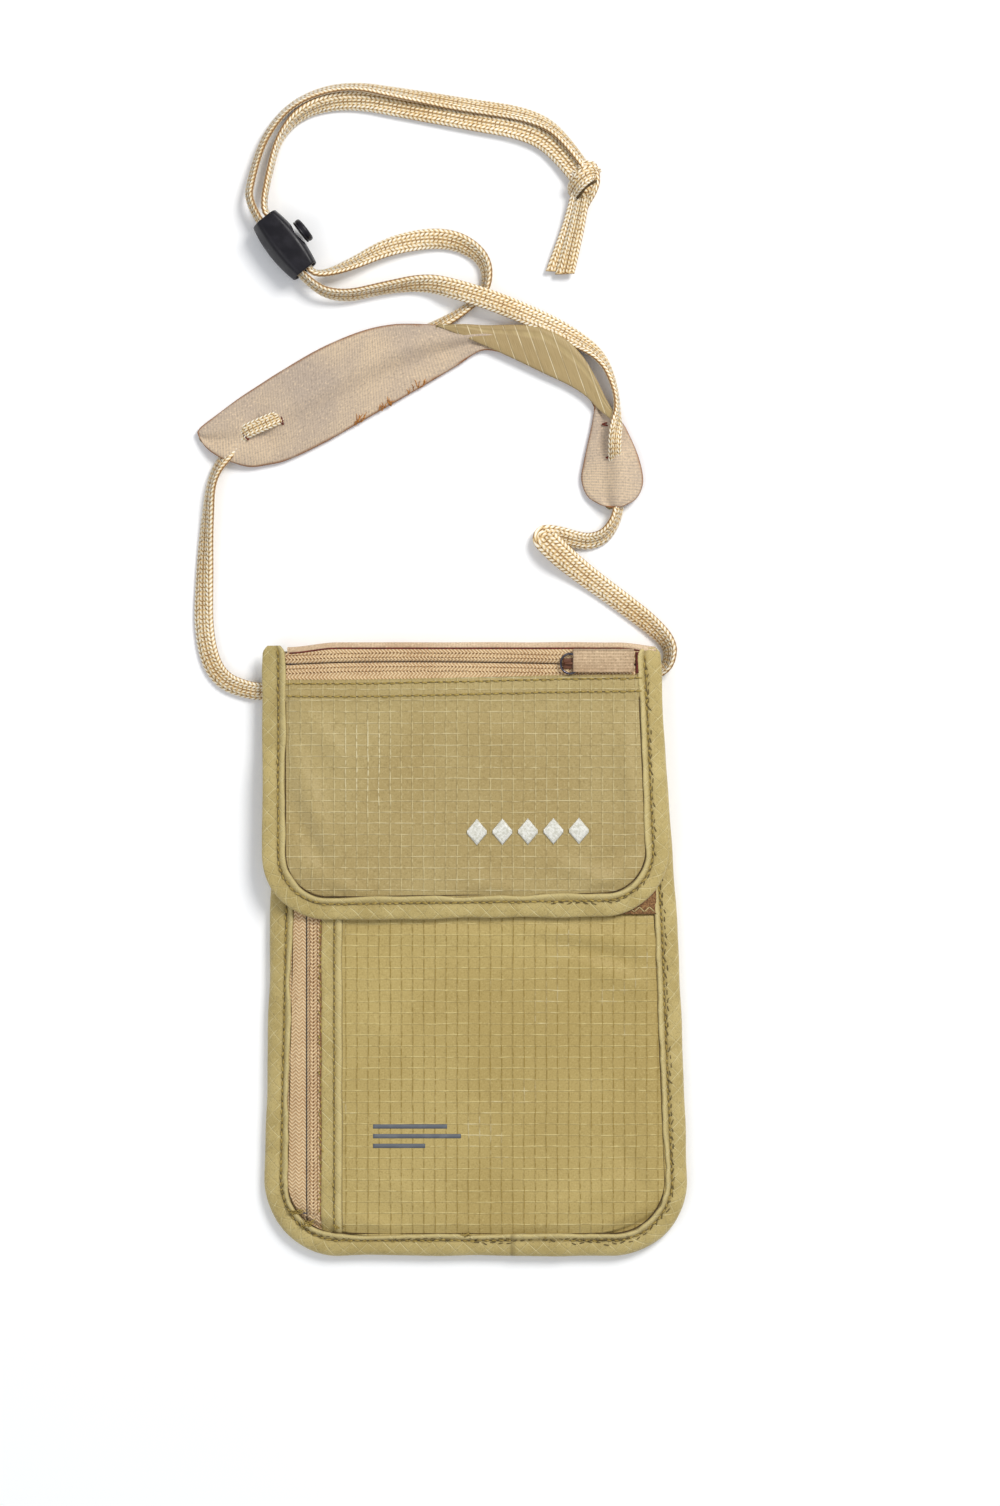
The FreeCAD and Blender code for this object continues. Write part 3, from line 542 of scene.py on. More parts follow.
def tape_material(name, base, dark, thread):
    """Zip tape: a herringbone weave in narrow columns."""
    s = Shader(name)
    where, x, y = s.cloth(wobble=0.1, size=5)
    bend = s.math("PINGPONG", y, 1.1)
    slant = s.wave(s.math("ADD", x, bend), 1.15)
    ribs = s.wave(y, 2.2)
    grain = s.noise(where, 0.6, 2)
    cloud = s.noise(where, 12, 3)
    s.colour = s.mix(s.span(cloud, 0.3, 0.7, 0.0, 0.6), base, dark)
    s.tint(thread, s.span(slant, 0.35, 0.9, 0.0, 0.75))
    s.tint(dark, s.span(slant, 0.35, 0.0, 0.0, 0.5))
    s.tint(dark, s.span(grain, 0.5, 0.78, 0.0, 0.6))
    return s.done(0.78, s.math("MULTIPLY_ADD", ribs, 0.4, slant), 0.2, 0.9, 0.2)


def braid_material(name):
    """Braided cord: tan threads with a painted pale highlight on their tops, over painted brown
    shadows between them.
    """
    s = Shader(name)
    where, _, _ = s.cloth()
    cell = s.value("relief")
    grain = s.noise(where, 0.9, 2)
    cloud = s.noise(where, 16, 3)
    tan = s.mix(s.span(cloud, 0.3, 0.7), (242, 216, 164), (226, 192, 132))
    cream_highlight = s.mix(s.span(cloud, 0.35, 0.7), (255, 251, 238), (253, 242, 216))
    # Painted brown shadow between the beads, and a painted pale highlight on their tops.
    s.colour = s.mix(s.span(cell, 0.14, 0.46), (124, 78, 26), tan)
    s.tint(cream_highlight, s.span(cell, 0.5, 0.8))
    s.tint((170, 128, 72), s.span(grain, 0.55, 0.8, 0.0, 0.4))
    return s.done(0.55, s.math("MULTIPLY_ADD", grain, 0.4, cell), 0.3, 0.9, 0.3, 0.4)


def thread_material(name, base, dark, twist=0.5, rough=0.6):
    """Sewing thread or coil filament: one colour with twisted, broken shading."""
    s = Shader(name)
    where, x, y = s.cloth()
    grain = s.noise(where, 0.7, 2)
    ply = s.wave(s.math("ADD", x, y), twist)
    s.colour = s.mix(s.span(grain, 0.3, 0.7), base, dark)
    s.tint(dark, s.times(ply, 0.3))
    return s.done(rough, ply, 0.06, 0.6)


def pile_material(name, base, dark, size):
    """Hook or loop pile: a rough field of short fibres."""
    s = Shader(name)
    where, _, _ = s.cloth()
    fibre = s.noise(where, size, 4)
    cloud = s.noise(where, 7, 3)
    s.colour = s.mix(s.span(fibre, 0.35, 0.65), dark, base)
    s.tint(dark, s.span(cloud, 0.4, 0.7, 0.0, 0.5))
    return s.done(0.9, fibre, 0.5, 0.9)


def hard_material(name, base, worn, metal, rough, gloss=0.5):
    """Moulded plastic or metal with a fine grain and worn patches of another shade."""
    s = Shader(name)
    place = s.node("ShaderNodeTexCoord").outputs["Object"]
    grain = s.noise(place, 0.35 * MM, 3)
    cloud = s.noise(place, 4 * MM, 4)
    s.colour = s.mix(s.span(cloud, 0.45, 0.75, 0.0, 0.5), base, worn)
    rough = s.span(cloud, 0.3, 0.7, rough - 0.07, rough + 0.1)
    return s.done(rough, grain, 0.04, 0.5, Metallic=metal, Specular_IOR_Level=gloss)


RIPSTOP = ripstop_material(
    "ripstop",
    (176, 156, 101),
    (166, 144, 88),
    (212, 197, 148),
    (204, 187, 134),
    (122, 100, 44),
    1.0,
    (-34, 60),
)
FRONT = ripstop_material(
    "ripstop_front",
    (182, 160, 95),
    (172, 149, 84),
    (216, 198, 134),
    (146, 119, 40),
    (134, 110, 46),
    0.5,
)
PAD_BACK = ripstop_material(
    "ripstop_back",
    (178, 155, 106),
    (164, 140, 94),
    (184, 162, 112),
    (232, 216, 176),
    (150, 126, 76),
    0.2,
)
BINDING = binding_material(
    "binding", (188, 168, 106), (170, 149, 86), (212, 196, 140), (112, 92, 40)
)
SKIN = ribbed_material("skin_fabric", (218, 194, 162), (194, 164, 130), 0.9, 0.4)
KNIT = ribbed_material("pad_knit", (215, 191, 158), (182, 164, 146), 0.9, 0.9, (140, 84, 34))
TAB = ribbed_material("pull_ribbon", (214, 188, 153), (166, 137, 104), 0.95, 0.8, turn=True)
TAPE = tape_material("zip_tape", (214, 182, 134), (168, 124, 78), (242, 216, 174))
BRAID = braid_material("cord_braid")
OLIVE = thread_material("olive_thread", (122, 105, 56), (84, 68, 34))
PALE = thread_material("pale_thread", (206, 190, 138), (170, 150, 98))
BROWN = thread_material("brown_thread", (160, 114, 68), (108, 70, 36))
GOLD = thread_material("gold_thread", (186, 162, 84), (140, 116, 52))
SATIN = thread_material("white_thread", (244, 243, 236), (206, 204, 190), 0.8, 0.4)
COIL = thread_material("zip_coil", (150, 112, 72), (96, 64, 38), 0.9, 0.4)
# The next two are dark materials for painted shadow lines in seams, gaps and slits.
SEAM_SHADE = thread_material("seam_shadow", (122, 52, 38), (84, 36, 28), 0.9, 0.9)
GAP_SHADE = thread_material("gap_shadow", (96, 74, 34), (60, 42, 20), 0.9, 0.9)
LOOP = pile_material("loop_pile", (158, 118, 74), (104, 70, 40), 0.55)
HOOK = pile_material("hook_pile", (176, 140, 96), (120, 88, 56), 0.8)
FOIL = hard_material("liner_foil", (150, 152, 150), (186, 188, 186), 0.85, 0.42)
GUNMETAL = hard_material("gunmetal", (88, 84, 92), (196, 190, 190), 0.95, 0.2)
PLASTIC = hard_material("lock_plastic", (20, 18, 24), (36, 33, 42), 0.0, 0.36, 0.3)
STEEL = hard_material("spring_steel", (150, 150, 152), (190, 190, 192), 1.0, 0.25)
PAINT = hard_material("slider_paint", (112, 68, 44), (78, 46, 32), 0.2, 0.4)
PRINT = hard_material("print_ink", (92, 96, 102), (126, 128, 130), 0.0, 0.6)

# ---------------------------------------------------------------- cords

# Each point is x, y, z in millimetres, the braid's roll in degrees and its width.
LEFT_CORD = [
    (-60.6, 82.6, 2.6, 12, 6.0),
    (-64.4, 82.5, 2.6, 14, 6.0),
    (-72.0, 82.3, 2.1, 20, 6.2),
    (-82.5, 86.5, 1.7, 16, 6.6),
    (-87.0, 99.0, 1.6, 14, 6.8),
    (-86.8, 118.0, 1.8, 26, 6.8),
    (-85.7, 138.0, 2.6, 52, 6.4),
    (-84.3, 151.0, 2.9, 66, 6.0),
    (-78.5, 159.5, 2.4, 42, 5.8),
    (-75.8, 163.2, 2.2, 12, 5.6),
    (-74.2, 164.7, 3.4, 4, 5.2),
    (-72.2, 165.8, 4.7, 0, 5.2),
    (-64.4, 169.2, 4.7, 0, 5.2),
    (-62.4, 170.1, 3.4, 0, 5.2),
    (-59.2, 171.4, 1.4, 0, 5.6),
    (-48.0, 177.5, 1.2, 0, 6.4),
    (-32.0, 188.5, 1.2, 0, 6.4),
    (-16.0, 197.5, 1.8, 30, 5.2),
    (-3.0, 204.3, 2.2, 58, 4.4),
    (4.0, 211.0, 2.5, 60, 4.8),
    (3.0, 221.5, 2.6, 44, 6.2),
    (-9.0, 228.0, 1.8, 12, 7.0),
    (-27.0, 225.3, 2.4, -14, 6.8),
    (-41.0, 217.8, 4.0, -38, 5.0),
    (-50.9, 214.8, 6.0, -70, 3.5),
    (-53.9, 218.5, 6.05, -70, 3.5),
    (-65.0, 232.7, 6.05, -74, 3.5),
    (-67.9, 236.4, 6.0, -76, 3.5),
    (-66.0, 247.5, 3.8, -82, 5.2),
    (-62.7, 260.0, 3.2, -76, 5.6),
    (-54.4, 268.6, 2.8, -48, 6.2),
    (-40.0, 272.0, 1.8, -18, 6.6),
    (-20.0, 268.3, 1.4, 4, 6.6),
    (0.1, 264.7, 1.5, 8, 7.0),
    (16.4, 262.0, 1.7, 6, 7.4),
    (26.3, 256.4, 2.0, 0, 7.6),
    (32.6, 247.2, 2.8, 0, 6.4),
]
RIGHT_CORD = [
    (56.8, 88.4, 2.6, 20, 5.6),
    (60.1, 89.2, 2.6, 40, 4.2),
    (62.1, 92.3, 3.0, 52, 5.6),
    (62.2, 97.5, 2.6, 42, 6.4),
    (56.0, 104.0, 1.8, 20, 6.8),
    (46.5, 111.2, 1.5, 8, 7.0),
    (36.4, 118.6, 1.6, 6, 7.4),
    (30.4, 123.3, 3.0, 2, 8.0),
    (26.5, 126.6, 4.4, 0, 8.3),
    (23.2, 129.9, 4.6, 0, 8.3),
    (21.7, 131.6, 3.2, 0, 8.3),
    (23.6, 132.2, 1.5, 0, 7.6),
    (27.4, 132.0, 1.4, 0, 6.6),
    (32.0, 130.8, 1.5, -12, 6.0),
    (36.8, 130.1, 1.8, -24, 6.0),
    (42.1, 132.4, 2.4, -46, 6.0),
    (46.0, 139.5, 2.6, -62, 5.6),
    (45.6, 147.5, 2.0, -40, 5.2),
    (44.9, 154.0, 2.0, -4, 5.0),
    (44.5, 157.2, 4.0, 0, 4.8),
    (44.4, 159.6, 5.6, 0, 4.6),
    (44.5, 164.0, 6.0, -2, 4.6),
    (45.0, 168.0, 4.6, -30, 4.6),
    (45.4, 172.0, 3.0, -76, 4.6),
    (44.6, 179.5, 3.0, -82, 5.4),
    (40.8, 189.3, 2.8, -58, 6.2),
    (29.5, 196.9, 1.8, -20, 6.8),
    (17.5, 202.4, 2.6, -6, 7.0),
    (6.0, 206.8, 5.7, -2, 7.0),
    (-5.0, 210.3, 5.2, 2, 6.8),
    (-16.0, 213.2, 3.0, 34, 6.6),
    (-29.0, 211.2, 3.2, 64, 6.4),
    (-43.0, 208.0, 3.6, 50, 5.6),
    (-53.3, 211.8, 6.05, 60, 4.2),
    (-72.9, 236.8, 6.05, 66, 4.2),
    (-71.3, 247.5, 3.8, 70, 5.2),
    (-66.8, 260.8, 3.3, 72, 5.8),
    (-57.3, 271.4, 3.3, 70, 6.0),
    (-41.0, 276.4, 3.2, 68, 6.0),
    (-22.0, 273.0, 2.9, 46, 5.8),
    (0.0, 269.3, 2.4, 22, 5.4),
    (17.5, 266.7, 2.4, 24, 5.4),
    (28.4, 260.2, 3.1, 54, 5.0),
    (36.0, 248.6, 3.2, 64, 5.0),
]
TAIL_LEFT = [
    (33.0, 242.6, 3.4, 10, 4.8),
    (31.2, 234.3, 1.8, 14, 5.4),
    (28.9, 226.3, 1.6, 12, 6.0),
    (25.6, 216.6, 1.5, 8, 6.6),
]
TAIL_RIGHT = [
    (34.6, 242.3, 3.8, -16, 4.8),
    (33.0, 233.8, 3.2, -12, 5.4),
    (31.0, 225.6, 2.8, -8, 6.0),
    (28.5, 215.7, 2.5, -4, 6.4),
]
BRAID_STEP = 0.34  # between rings of points
BRAID_AROUND = 48  # points in a ring
BRAID_THICK = 1.6
BRAID_PITCH = 1.45  # between the beads of one thread
BRAID_COLUMNS = 6


def nurbs(points):
    """Points along the NURBS spline that has these control points."""
    curve = bpy.data.curves.new("line", "CURVE")
    curve.dimensions = "3D"
    spline = curve.splines.new("NURBS")
    spline.points.add(len(points) - 1)
    for control, point in zip(spline.points, points):
        control.co = (*point, 1)
    spline.order_u = 3
    spline.use_endpoint_u = True
    spline.resolution_u = 20
    holder = bpy.data.objects.new("line", curve)
    mesh = bpy.data.meshes.new_from_object(holder)
    line = np.array([v.co for v in mesh.vertices], float)
    bpy.data.meshes.remove(mesh)
    bpy.data.curves.remove(curve)
    return line


def braid(route, slant=0.0):
    """A flat braid along a route: its centreline in metres, points, faces, cloth, relief."""
    line = nurbs([np.array(p[:3]) * MM for p in route])
    turns = nurbs([(p[3], p[4], 0) for p in route])
    both = np.concatenate([line / MM, turns[:, :2]], axis=1)
    run = run_along(both[:, :3])
    at = np.linspace(0, run[-1], round(run[-1] / BRAID_STEP) + 1)
    both = np.stack([np.interp(at, run, both[:, k]) for k in range(5)], axis=1)
    centre, roll, width = both[:, :3], np.radians(both[:, 3]), both[:, 4]
    tangent, side, up = frames(centre)
    cos, sin = np.cos(roll)[:, None], np.sin(roll)[:, None]
    side, up = side * cos + up * sin, up * cos - side * sin
    turn = np.linspace(0, 2 * math.pi, BRAID_AROUND, endpoint=False)
    a = np.sign(np.cos(turn)) * np.abs(np.cos(turn)) ** 0.85
    b = np.sign(np.sin(turn)) * np.abs(np.sin(turn)) ** 0.75
    place = (a + 1) / 2 * BRAID_COLUMNS
    column = np.minimum(np.floor(place), BRAID_COLUMNS - 1)
    inside = place - column
    lean = np.where(column % 2 == 0, inside, 1 - inside) * 0.8
    phase = at[:, None] / BRAID_PITCH + lean[None] + (b < 0)[None] * 0.5
    bead = np.abs(np.sin(math.pi * phase)) ** 0.8
    relief = bead * np.sin(math.pi * np.clip(inside, 0.02, 0.98))[None] ** 0.5
    sag = ripple(at, at * 0, 23, 5)
    cup = (0.35 + 0.25 * sag)[:, None] * (1 - (a**2)[None] * 2)
    crease = -0.28 * np.exp(-(((a - 0.15) * 3.4) ** 2))[None] * np.sign(b)[None]
    half = width[:, None] / 2
    out_a = a[None] * (half - 0.25 + 0.2 * relief)
    out_b = b[None] * (BRAID_THICK / 2 - 0.2 + 0.45 * relief) + cup * 0.5 + crease
    out_t = a[None] * slant * smooth((at - at[-1] + 4) / 4)[:, None]
    points = (
        centre[:, None]
        + out_a[..., None] * side[:, None]
        + out_b[..., None] * up[:, None]
        + out_t[..., None] * tangent[:, None]
    )
    points[..., 2] = np.maximum(points[..., 2], 0.15)
    _, faces = loft(points)
    cloth = xyz(at[:, None], (a * 3.2)[None], (b * 0.8)[None])
    return centre * MM, points.reshape(-1, 3), faces, cloth, relief


def braid_piece(name, route, slant=0.0):
    line, points, faces, cloth, relief = braid(route, slant)
    more = {"relief": relief}
    piece = make(name, points, faces, BRAID, "pouch", "cord_braid", cloth, more)
    return piece, line


cord_left, left_line = braid_piece("cord_left", LEFT_CORD)
cord_right, right_line = braid_piece("cord_right", RIGHT_CORD)
tail_left, _ = braid_piece("tail_left", TAIL_LEFT, 0.9)
tail_right, _ = braid_piece("tail_right", TAIL_RIGHT, 0.9)

# The knot: a packed core and the turns of braid that wrap round it.
KNOT_WRAPS = [
    [
        (30.868, 241.036, 1.6, 60, 5.12),
        (31.124, 242.548, 4.4, 20, 5.44),
        (33.108, 245.068, 7.0, 4, 5.92),
        (35.796, 247.084, 7.0, -6, 5.76),
        (38.1, 247.924, 4.4, -26, 5.12),
        (38.356, 247.924, 1.6, -60, 4.8),
    ],
    [
        (37.076, 249.94, 1.8, -40, 4.48),
        (38.1, 246.244, 4.0, -34, 4.8),
        (36.948, 242.38, 4.8, -24, 4.8),
        (34.9, 239.02, 3.6, -16, 4.48),
        (34.26, 237.508, 2.2, -10, 4.16),
    ],
    [
        (31.956, 249.268, 1.8, 30, 4.96),
        (32.852, 248.428, 4.2, 24, 5.12),
        (35.156, 249.772, 4.6, 0, 4.96),
        (37.46, 249.604, 2.6, -20, 4.48),
    ],
]
turn = np.linspace(0, 2 * math.pi, 28, endpoint=False)
core = []
for level in np.linspace(-1, 1, 20) * 0.98:
    ring = math.sqrt(1 - level**2)
    x = 34.8 + 3.4 * ring * np.cos(turn)
    core.append(xyz(x, 244.8 + 5.0 * level, 3.6 + 3.1 * ring * np.sin(turn)))
parts = [loft(core)]
x, y, _ = parts[0][0].T
knot_cloth = [parts[0][0]]
knot_relief = [np.abs(np.sin(x * 2.2 + y * 1.4)) * np.abs(np.sin(y * 2.2))]
for wrap in KNOT_WRAPS:
    _, points, faces, cloth, relief = braid(wrap)
    parts.append((points, faces))
    knot_cloth.append(cloth.reshape(-1, 3))
    knot_relief.append(relief.ravel())
more = {"relief": np.concatenate(knot_relief)}
knot_cloth = np.concatenate(knot_cloth)
knot = make("cord_knot_turns", *join(parts), BRAID, "pouch", "cord_braid", knot_cloth, more)
# A painted shadow line in the gap between the knot's two turns.
GAP_SHADE_LINE = [
    (32.4, 239.7, 4.4),
    (33.5, 240.8, 5.7),
    (34.9, 242.7, 6.3),
    (37.3, 244.5, 6.2),
    (38.7, 245.1, 5.2),
]
make("knot_gap_shade", *tube(GAP_SHADE_LINE, 0.42), GAP_SHADE, "pouch", "cord_braid")
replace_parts(cord_left, "cord_left_lower", "cord_left_upper", "cord_bridge_left")
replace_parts(cord_left, "cord_anchor_left")
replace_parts(cord_right, "cord_right_lower", "cord_right_upper", "cord_bridge_right")
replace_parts(cord_right, "cord_anchor_right")
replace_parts(tail_left, "cord_tail_left")
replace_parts(tail_right, "cord_tail_right")
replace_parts(knot, "cord_knot")

# ---------------------------------------------------------------- outlines

BODY = rounded(
    [(-63.7, 95.2), (-67.8, -97.9), (68.73, -97.9), (64.5, 9.3), (58.4, 95.2)], 24
)
FLAP = rounded([(-67.8, 96.9), (-67.8, 9.2), (62.6, 11.0), (58.8, 96.4)], 21)


def inset(path, width):
    """The path moved into the shape."""
    return path + inward(path) * width


BODY_IN = inset(BODY, 6.2)
FLAP_IN = inset(FLAP, 6.2)


def depth(path, x, y, top):
    """How far each point is inside a bound edge."""
    left, right = sides_at(path, y)
    low = path[:, 1].min()
    corner = 17.0
    gaps = np.stack([x - left, right - x, y - low])
    near = np.maximum(corner - gaps, 0)
    two = np.hypot(np.maximum(near[0], near[1]), near[2])
    plain = gaps.min(axis=0)
    inside = np.where((np.maximum(near[0], near[1]) > 0) & (near[2] > 0), corner - two, plain)
    return np.minimum(inside, top)


FRONT_FOLDS = [
    (8, 8, 56, 2, 3.0, 0.35),
    (20, 3, 58, -6, 2.4, -0.25),
    (-30, 6, 10, 4, 3.0, 0.2),
    (30, -2, 57, -14, 3.4, 0.25),
    (-38, -20, -20, -34, 4.0, 0.2),
    (-36, -70, -10, -84, 4.0, 0.22),
    (18, -86, 52, -72, 4.0, 0.28),
    (44, -60, 56, -80, 3.2, -0.22),
    (-40, -84, -22, -92, 2.4, 0.25),
    (0, -93, 26, -88, 2.2, 0.25),
]
FLAP_FOLDS = [
    (-59, 66, -47, 34, 3.0, 0.45),
    (-60, 48, -44, 20, 2.6, -0.35),
    (-56, 78, -40, 58, 3.4, 0.3),
    (-54, 28, -34, 16, 2.6, 0.3),
    (20, 30, 52, 18, 3.2, 0.35),
    (28, 22, 54, 34, 2.6, -0.25),
    (46, 70, 53, 36, 3.2, 0.35),
    (-20, 72, 20, 66, 6.0, 0.2),
    (-6, 24, 18, 17, 3.0, 0.22),
]


def front_z(x, y):
    """Height of the front's upper face, without its folds."""
    inside = depth(BODY_IN, x, y, 30)
    return 5.35 + 1.35 * smooth(inside / 5) - 1.1 * smooth(-inside)


def front_soft(x, y):
    """Height of the front panel with its folds."""
    fade = smooth(depth(BODY_IN, x, y, 30) / 5)
    return (
        front_z(x, y)
        + 2.6 * fade * creases(x, y, FRONT_FOLDS)
        + fade * 0.12 * ripple(x, y, 34, 11)
    )


def droop(x, y):
    """How far the flap's edges hang below its middle."""
    left = smooth((-57.5 - x) / 10.3)
    right = smooth((x - 50.0) / 11)
    low = smooth((20 - y) / 9)
    # Less beside the side zip's pull, which swings under this edge.
    return (0.6 + 2.4 * smooth((y - 54) / 16)) * left + 2.2 * right + 0.7 * low


def flap_soft(x, y):
    """Height of the flap panel with its folds."""
    inside = depth(FLAP_IN, x, y, 30)
    fade = smooth(inside / 5) * smooth((88 - y) / 8)
    return (
        9.85
        - droop(x, y)
        + 0.45 * smooth(inside / 5)
        - 0.4 * smooth(-inside)
        + 2.6 * fade * creases(x, y, FLAP_FOLDS)
        + fade * 0.12 * ripple(x, y, 30, 21)
    )


def panel(name, top, thick, material, body, slot):
    return make(name, *layer(top, thick), material, body, slot)


# ---------------------------------------------------------------- stitches


def thread_points(line, radius, dip=0.18):
    """One stitch: a short thread whose ends dip into the cloth."""
    a, b = line
    t = np.array([0, 0.16, 0.5, 0.84, 1])
    mid = a[None] * (1 - t[:, None]) + b[None] * t[:, None]
    mid[:, 2] += dip * np.array([-1.3, 0.3, 1, 0.3, -1.3])
    return tube(mid, radius * np.array([0.55, 0.95, 1, 0.95, 0.55]), 6)


def stitch_row(path, pitch, length, radius, seed=1, wander=0.10):
    """Stitches along a path of points on the cloth."""
    picks = np.random.default_rng(seed)
    path = resample(path, pitch)
    heading = unit(np.gradient(path, axis=0))
    sideways = unit(np.cross(heading, [0, 0, 1.0]))
    parts = []
    for p, h, s in zip(path, heading, sideways):
        shift = s * picks.normal(0, wander)
        tilt = s * picks.normal(0, wander)
        reach = length / 2 * picks.uniform(0.8, 1.12)
        ends = (p + shift - h * reach + tilt, p + shift + h * reach - tilt)
        parts.append(thread_points(ends, radius))
    return parts


def shade_line(path, radius):
    """A dark line of painted shade just below a path, which shows between a row's stitches."""
    return [tube(resample(path, 1.5) - [0, 0, 0.16], radius, 6)]


def on(surface, x, y, lift=0.08):
    """Points at a surface's height along given X and Y."""
    x, y = np.broadcast_arrays(np.asarray(x, float), np.asarray(y, float))
    return xyz(x, y, surface(x, y) + lift)


def stitches(name, parts, material, body, slot):
    return make(name, *join(parts), material, body, slot)


# ---------------------------------------------------------------- bindings

# The tape's section: width in from the edge, height, the painted highlight on its raised lip,
# and the painted shade in its grooves.
BODY_SECTION = [
    (7.2, 0.45, 0, 0),
    (6.8, 0.1, 0, 0),
    (5.2, 0.05, 0, 0),
    (3.0, 0.05, 0, 0),
    (1.2, 0.15, 0, 0),
    (0.4, 0.6, 0, 0),
    (0.05, 1.4, 0, 0),
    (0.0, 2.3, 0, 0),
    (0.12, 3.2, 0, 0),
    (0.5, 3.9, 0, 0),
    (1.2, 4.45, 0, 0),
    (2.2, 4.85, 0, 0),
    (3.2, 5.1, 0, 0),
    (4.2, 5.25, 0, 0),
    (4.75, 5.15, 0, 0.25),
    (5.15, 5.0, 0, 0.6),
    (5.5, 5.2, 0, 0.25),
    (5.9, 5.75, 0.4, 0),
    (6.35, 6.15, 1, 0),
    (6.8, 6.2, 1, 0),
    (7.15, 5.95, 0.6, 0.2),
    (7.3, 5.3, 0, 0.6),
    (7.2, 4.6, 0, 0.6),
]
FLAP_SECTION = [
    (7.2, 8.6, 0, 0),
    (6.6, 8.42, 0, 0),
    (4.0, 8.42, 0, 0),
    (1.4, 8.45, 0, 0),
    (0.5, 8.55, 0, 0),
    (0.1, 8.85, 0, 0),
    (0.0, 9.2, 0, 0),
    (0.15, 9.55, 0, 0),
    (0.6, 9.85, 0, 0),
    (1.4, 10.05, 0, 0),
    (2.6, 10.2, 0, 0),
    (3.8, 10.25, 0, 0),
    (4.6, 10.2, 0, 0.25),
    (5.1, 10.02, 0, 0.6),
    (5.5, 10.15, 0, 0.25),
    (5.9, 10.4, 0.4, 0),
    (6.4, 10.62, 1, 0),
    (6.9, 10.62, 1, 0),
    (7.25, 10.4, 0.6, 0.2),
    (7.35, 10.05, 0, 0.6),
    (7.25, 9.7, 0, 0.6),
]


def binding(path, section, fall, seed, joint=None):
    """Points, faces, cloth and shades of a tape folded over an edge.

    joint is where along it one end of the tape lies over the other.
    """
    normal = inward(path)
    run = run_along(path)
    section = np.array(section, float)
    across = run_along(section[:, :2])
    wide, high = section[:, 0][None], section[:, 1][None]
    lip = smooth((wide - 4.8) / 1.6)
    upper = (np.arange(len(section)) > len(section) // 3)[None]
    stitch = np.sin(run * 2 * math.pi / 2.5)[:, None]
    drift = ripple(run, run * 0, 24, seed)[:, None]
    small = ripple(run, run * 0, 6, seed + 1)[:, None]
    edge = smooth((1.6 - wide) / 1.6)
    wide = wide + upper * lip * (0.30 * drift + 0.12 * small) - edge * 0.18 * drift
    high = high + upper * (
        lip * (0.05 * stitch + 0.16 * small) + (1 - lip) * 0.10 * small * (wide > 0.8)
    )
    pucker = -0.08 * (1 + stitch) * np.exp(-(((wide - 5.1) / 0.7) ** 2)) * upper
    high = high + pucker
    step = np.zeros((len(run), 1))
    if joint is not None:
        past = run[:, None] - joint
        high = high + upper * 0.4 * smooth(past / 0.5) * smooth(4 - past / 5)
        # A painted shade line runs across the tape where one end lies over the other.
        step = 0.9 * np.exp(-((past / 0.45) ** 2))
    ends = smooth(np.minimum(run, run[-1] - run) / 2.4)[:, None]
    middle = section[:, 1].mean()
    ends = 0.25 + 0.75 * np.sqrt(ends)
    wide = 3.6 + (wide - 3.6) * (0.45 + 0.55 * ends)
    high = middle + (high - middle) * ends
    x = path[:, 0][:, None] + normal[:, 0][:, None] * wide
    y = path[:, 1][:, None] + normal[:, 1][:, None] * wide
    points = xyz(x, y, high - fall(x, y))
    cloth = xyz(run[:, None], across[None], 0.0)
    # The shades: a painted highlight along the raised lip, and painted shade in the grooves and
    # across the joint.
    shades = {
        "lip": np.broadcast_to(section[:, 2][None], x.shape),
        "groove": np.maximum(section[:, 3][None] + 0 * x, step),
    }
    _, faces = loft(points)
    return points, faces, cloth, shades


def no_fall(x, y):
    return 0 * x


BOUND = "binding_tape"
parts = binding(BODY, BODY_SECTION, no_fall, 31, 262.0)
body_binding = make("binding_body", *parts[:2], BINDING, "pouch", BOUND, *parts[2:])
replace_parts(body_binding, "body_binding")
parts = binding(FLAP, FLAP_SECTION, droop, 41)
flap_binding = make("binding_flap", *parts[:2], BINDING, "flap", BOUND, *parts[2:])
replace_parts(flap_binding, "flap_binding")


def edge_row(path, width, height, fall, first=0.0, last=1.0):
    """A line along a binding, at a width in from its edge."""
    line = path + inward(path) * width
    count = len(line)
    line = line[int(first * count) : int(last * count)]
    z = height - fall(line[:, 0], line[:, 1])
    return np.concatenate([line, z[:, None]], axis=1)


row = edge_row(BODY, 5.15, 5.08, no_fall)
stitches("stitches_body", stitch_row(row, 2.3, 1.7, 0.27, 3, 0.12), GOLD, "pouch", BOUND)
# The first line here is painted shade between the gold stitches; the others are olive stitches.
rows = shade_line(row, 0.27)
rows += stitch_row(edge_row(BODY, 4.4, 5.2, no_fall, 0.5, 0.98), 2.6, 1.8, 0.17, 4, 0.3)
rows += stitch_row(edge_row(BODY, 5.8, 5.65, no_fall, 0.34, 0.6), 2.4, 1.6, 0.16, 5, 0.3)
stitches("stitches_body_dark", rows, OLIVE, "pouch", BOUND)
row = edge_row(FLAP, 5.1, 10.12, droop, 0.01, 0.99)
stitches("stitches_flap", stitch_row(row, 2.3, 1.7, 0.27, 6, 0.12), GOLD, "flap", BOUND)
# The first line here is painted shade between the gold stitches; the others are olive stitches.
rows = shade_line(row, 0.27)
rows += stitch_row(edge_row(FLAP, 4.4, 10.22, droop, 0.6, 0.98), 2.6, 1.8, 0.16, 7, 0.3)
stitches("stitches_flap_dark", rows, OLIVE, "flap", BOUND)

# Painted shadow lines in the gaps between each binding and its panel.
row = edge_row(BODY, 7.5, 5.62, no_fall, 0.02, 0.98)
stitches("gap_shade_body", shade_line(row, 0.2), GAP_SHADE, "pouch", BOUND)
row = edge_row(FLAP, 7.5, 10.05, droop, 0.02, 0.98)
stitches("gap_shade_flap", shade_line(row, 0.2), GAP_SHADE, "flap", BOUND)

